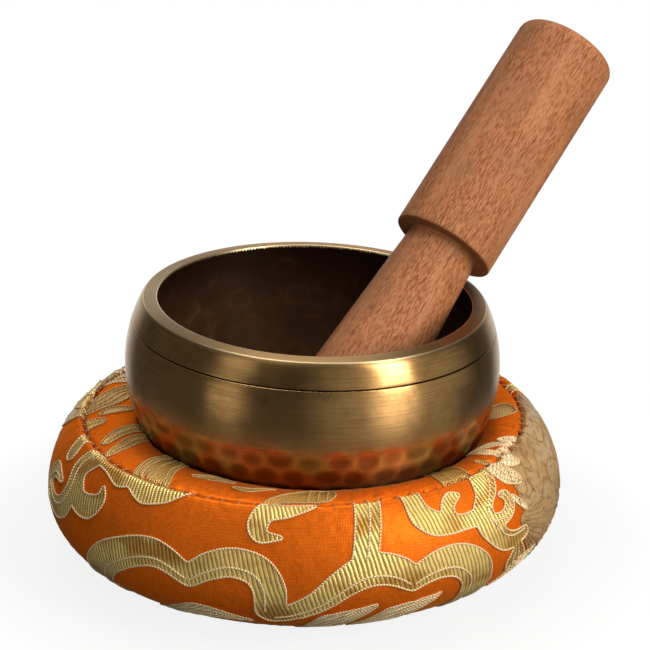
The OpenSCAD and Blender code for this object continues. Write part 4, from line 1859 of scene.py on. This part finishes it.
@dataclass
class Seams:
    """Visible stitches of the two seams."""

    top: Cloth
    band: Cloth
    top_count: int = TOP_STITCHES
    base_count: int = BASE_STITCHES
    width: float = 0.34
    length: float = 2.2
    slant: float = 0.55
    band_spot: float = 2.0
    top_spot: float = 2.3
    lift: float = 0.05
    base_level: float = 0.55
    sides: int = 6
    seed: int = 3

    def _stitch(self, piece: Piece, ends: Sequence[Array], up: Array, sag: float) -> None:
        """Adds one stitch as a short bent tube.

        Args:
            piece: piece that it is added to.
            ends: its two ends, in millimetres.
            up: direction away from the cloth.
            sag: how far its middle stands above its ends.
        """
        shares = np.linspace(0, 1, 7)[:, None]
        line = ends[0] * (1 - shares) + ends[1] * shares + up * np.sin(shares * math.pi) * sag
        step = np.gradient(line, axis=0)
        side = unit(np.cross(step, up))
        lift = unit(np.cross(side, step))
        angles = turns_of(self.sides)[:, None]
        taper = (0.55 + 0.45 * np.sin(shares * math.pi) ** 0.5)[:, :, None] * self.width / 2
        ring = (side[:, None] * np.cos(angles) + lift[:, None] * np.sin(angles)) * taper
        piece.tube(line[:, None] + ring, self.length / len(line))

    def build(self) -> None:
        """Builds the stitches of both seams."""
        draw = np.random.default_rng(self.seed)
        thread = TwistedThread("seam_thread", (0.55, 0.19, 0.035), (0.26, 0.075, 0.012), 0.4).material()
        upper = Piece("top_seam_stitches")
        radius = self.band.belly_radius
        edge = float(self.top.flat[-1])
        for k in range(self.top_count):
            turn = k * FULL_TURN / self.top_count
            half = self.slant * draw.normal(1, 0.3) / radius
            low = np.array([[(turn - half) * radius, self.band_spot + draw.normal(0, 0.25)]])
            spot = edge - self.top_spot + draw.normal(0, 0.2)
            high = np.array([[spot * math.sin(turn + half), -spot * math.cos(turn + half)]])
            outer, inner = self.band.place(low, self.lift)[0][0], self.top.place(high, self.lift)[0][0]
            self._stitch(upper, (outer, inner), UP, sag=0.15)
        made = upper.build(thread, Body.CUSHION, Slot.THREAD)
        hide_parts("top_seam_thread")
        lower = Piece("base_seam_stitches")
        ring = np.linalg.norm(self.band.points[-1][0, :2])
        half = self.length / 2 / ring
        for k in range(self.base_count):
            turn = (k + draw.normal(0, 0.08)) * FULL_TURN / self.base_count
            ends = [
                np.array([ring * math.sin(spot), -ring * math.cos(spot), self.base_level])
                for spot in (turn - half, turn + half)
            ]
            self._stitch(lower, ends, np.array([math.sin(turn), -math.cos(turn), 0.0]), sag=0.1)
        made = lower.build(thread, Body.CUSHION, Slot.THREAD)
        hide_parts("base_seam_thread")


def direction(turn: float, height: float) -> Vector:
    """Unit vector to a turn from the front towards the right and a height, in degrees."""
    a, e = math.radians(turn), math.radians(height)
    return Vector((math.sin(a) * math.cos(e), -math.cos(a) * math.cos(e), math.sin(e)))


@dataclass(frozen=True)
class Reflector:
    """A bright side of the surround, as metal mirrors it."""

    turn: float
    height: float
    reach: float
    full: float
    level: float

    def light(self, shader: Graph, ray: Socket) -> Value:
        """Its light along a ray."""
        near = shader.towards(ray, tuple(direction(self.turn, self.height)))
        return near.step(math.cos(math.radians(self.reach)), math.cos(math.radians(self.full))) * self.level


@dataclass(frozen=True)
class SoftBox:
    """An area lamp that faces the set; its direction is in degrees, its distance and size in metres."""

    name: str
    turn: float
    height: float
    away: float
    size: Point
    watts: float
    tint: Colour
    mirrored: bool = True

    def add(self, target: Vector) -> None:
        """Adds the lamp around a place in metres."""
        lamp = bpy.data.lights.new(self.name, "AREA")
        lamp.shape = "RECTANGLE"
        lamp.size, lamp.size_y = self.size
        lamp.energy = self.watts
        lamp.color = self.tint
        made = bpy.data.objects.new(self.name, lamp)
        towards = direction(self.turn, self.height)
        made.location = target + towards * self.away
        made.rotation_euler = towards.to_track_quat("Z", "Y").to_euler()
        made.visible_glossy = self.mirrored
        bpy.context.scene.collection.objects.link(made)


def kinds_of_ray(shader: Graph) -> tuple[Value, Value]:
    """Whether a ray comes from the camera, straight or through something clear, and whether from a mirror."""
    path = shader.node("LightPath").outputs
    seen = Value(shader, path["Is Camera Ray"]).most(Value(shader, path["Is Transmission Ray"]))
    return seen, Value(shader, path["Is Glossy Ray"])


@dataclass
class Studio:
    """Camera at the photograph's place, pale floor, soft boxes and a white surround."""

    target: Triple = (4.57, 0.0, 49.95)
    distance: float = 600.0
    elevation_degrees: float = 21.09
    lens: float = 156.2
    floor_radius: float = 108.0
    floor_drop: float = 0.05
    floor_tone: Colour = (0.08, 0.08, 0.08)
    floor_glow: Point = (0.86, 0.16)
    floor_mirrored: float = 0.12
    shadow_reach: float = 62.0
    fill: Point = (0.05, 0.22)
    fill_side: Triple = (0.45, -0.45, 0.77)
    dim: float = 0.085
    reflectors: tuple[Reflector, ...] = (
        Reflector(180, 0, 46, 12, 0.92),
        Reflector(55, 0, 66, 26, 0.33),
        Reflector(50, -4, 20, 6, 1.8),
        Reflector(-52, -4, 17, 6, 0.8),
        Reflector(-50, 30, 15, 5, 0.8),
    )
    lamps: tuple[SoftBox, ...] = (
        SoftBox("right_box", 53, 30, 0.85, (0.26, 0.58), 4.6, (1.0, 0.96, 0.90)),
        SoftBox("front_box", 4, 22, 0.9, (0.4, 0.3), 2.6, (1.0, 0.97, 0.92), mirrored=False),
        SoftBox("left_box", -62, 75, 0.9, (0.2, 0.4), 0.8, (1.0, 0.96, 0.9)),
        SoftBox("top_box", 190, 74, 0.9, (0.6, 0.4), 4.2, (1.0, 0.98, 0.95)),
        SoftBox("side_box", 84, 15, 0.9, (0.4, 0.3), 3.2, (1.0, 0.98, 0.95), mirrored=False),
    )

    def camera(self) -> None:
        """Adds the camera."""
        camera = bpy.data.cameras.new("photograph")
        camera.lens = self.lens
        camera.sensor_width = 36.0
        camera.clip_start = 0.01
        made = bpy.data.objects.new("photograph", camera)
        tilt = math.radians(self.elevation_degrees)
        back = Vector((0, -math.cos(tilt), math.sin(tilt))) * self.distance
        made.location = (Vector(self.target) + back) * MM
        made.rotation_euler = (math.pi / 2 - tilt, 0, 0)
        bpy.context.scene.collection.objects.link(made)
        bpy.context.scene.camera = made

    def floor(self) -> None:
        """Adds the pale floor, which looks white where no shadow lies on it."""
        edge = (around(96) * self.floor_radius - UP * self.floor_drop) * MM
        mesh = bpy.data.meshes.new("floor")
        mesh.from_pydata(edge.tolist(), [], [tuple(range(len(edge)))])
        shader = Shader("pale_floor")
        seen, glossy = kinds_of_ray(shader)
        seen = seen.most(glossy * self.floor_mirrored)
        shader.dress(Base_Color=self.floor_tone, Roughness=0.9, Specular_IOR_Level=0.0)
        away = shader.node("VectorMath", {"operation": "LENGTH"}, {0: shader.own_place()}).outputs["Value"]
        fade = Value(shader, away).step(self.shadow_reach * MM, self.floor_radius * MM)
        strength = self.floor_glow[0] + fade * self.floor_glow[1]
        glow = shader.node("Emission", {}, {"Color": (1.0, 1.0, 1.0), "Strength": strength})
        bright = shader.node("AddShader", {}, {0: shader.surface.outputs[0], 1: glow.outputs[0]})
        mixed = shader.node("MixShader", {}, {0: seen, 1: shader.surface.outputs[0], 2: bright.outputs[0]})
        shader.feed(shader.tree.nodes["Material Output"], "Surface", mixed.outputs[0])
        mesh.materials.append(shader.material)
        made = bpy.data.objects.new("floor", mesh)
        bpy.context.scene.collection.objects.link(made)

    def surround(self) -> None:
        """Sets the world: white to the camera, bright behind the set and dim in front of it."""
        world = bpy.data.worlds.new("surround")
        bpy.context.scene.world = world
        world.use_nodes = True
        tree = world.node_tree
        back = tree.nodes["Background"]
        back.inputs["Color"].default_value = (1.0, 1.0, 1.0, 1.0)
        shader = Graph(tree)
        seen, glossy = kinds_of_ray(shader)
        ray = shader.node("TexCoord").outputs["Generated"]
        mirrored = sum((part.light(shader, ray) for part in self.reflectors), self.dim)
        fill = self.fill[0] + shader.towards(ray, self.fill_side).step(-0.2, 1.0) * self.fill[1]
        level = fill + glossy * (mirrored - fill)
        shader.feed(back, "Strength", level.most(seen))

    def build(self) -> None:
        """Sets up camera, floor, light and view."""
        self.camera()
        self.floor()
        self.surround()
        for lamp in self.lamps:
            lamp.add(Vector(self.target) * MM)
        bpy.context.scene.view_settings.view_transform = "Standard"


def main() -> None:
    """Builds the set and its studio in order."""
    logging.basicConfig(level=logging.INFO, format="%(message)s")
    Studio().build()
    bowl = Bowl()
    bowl.build()
    Striker().build(bowl)
    top, band = Cushion(bowl).build()
    Brocade(top, band).build()
    Seams(top, band).build()


if __name__ == "__main__":
    main()
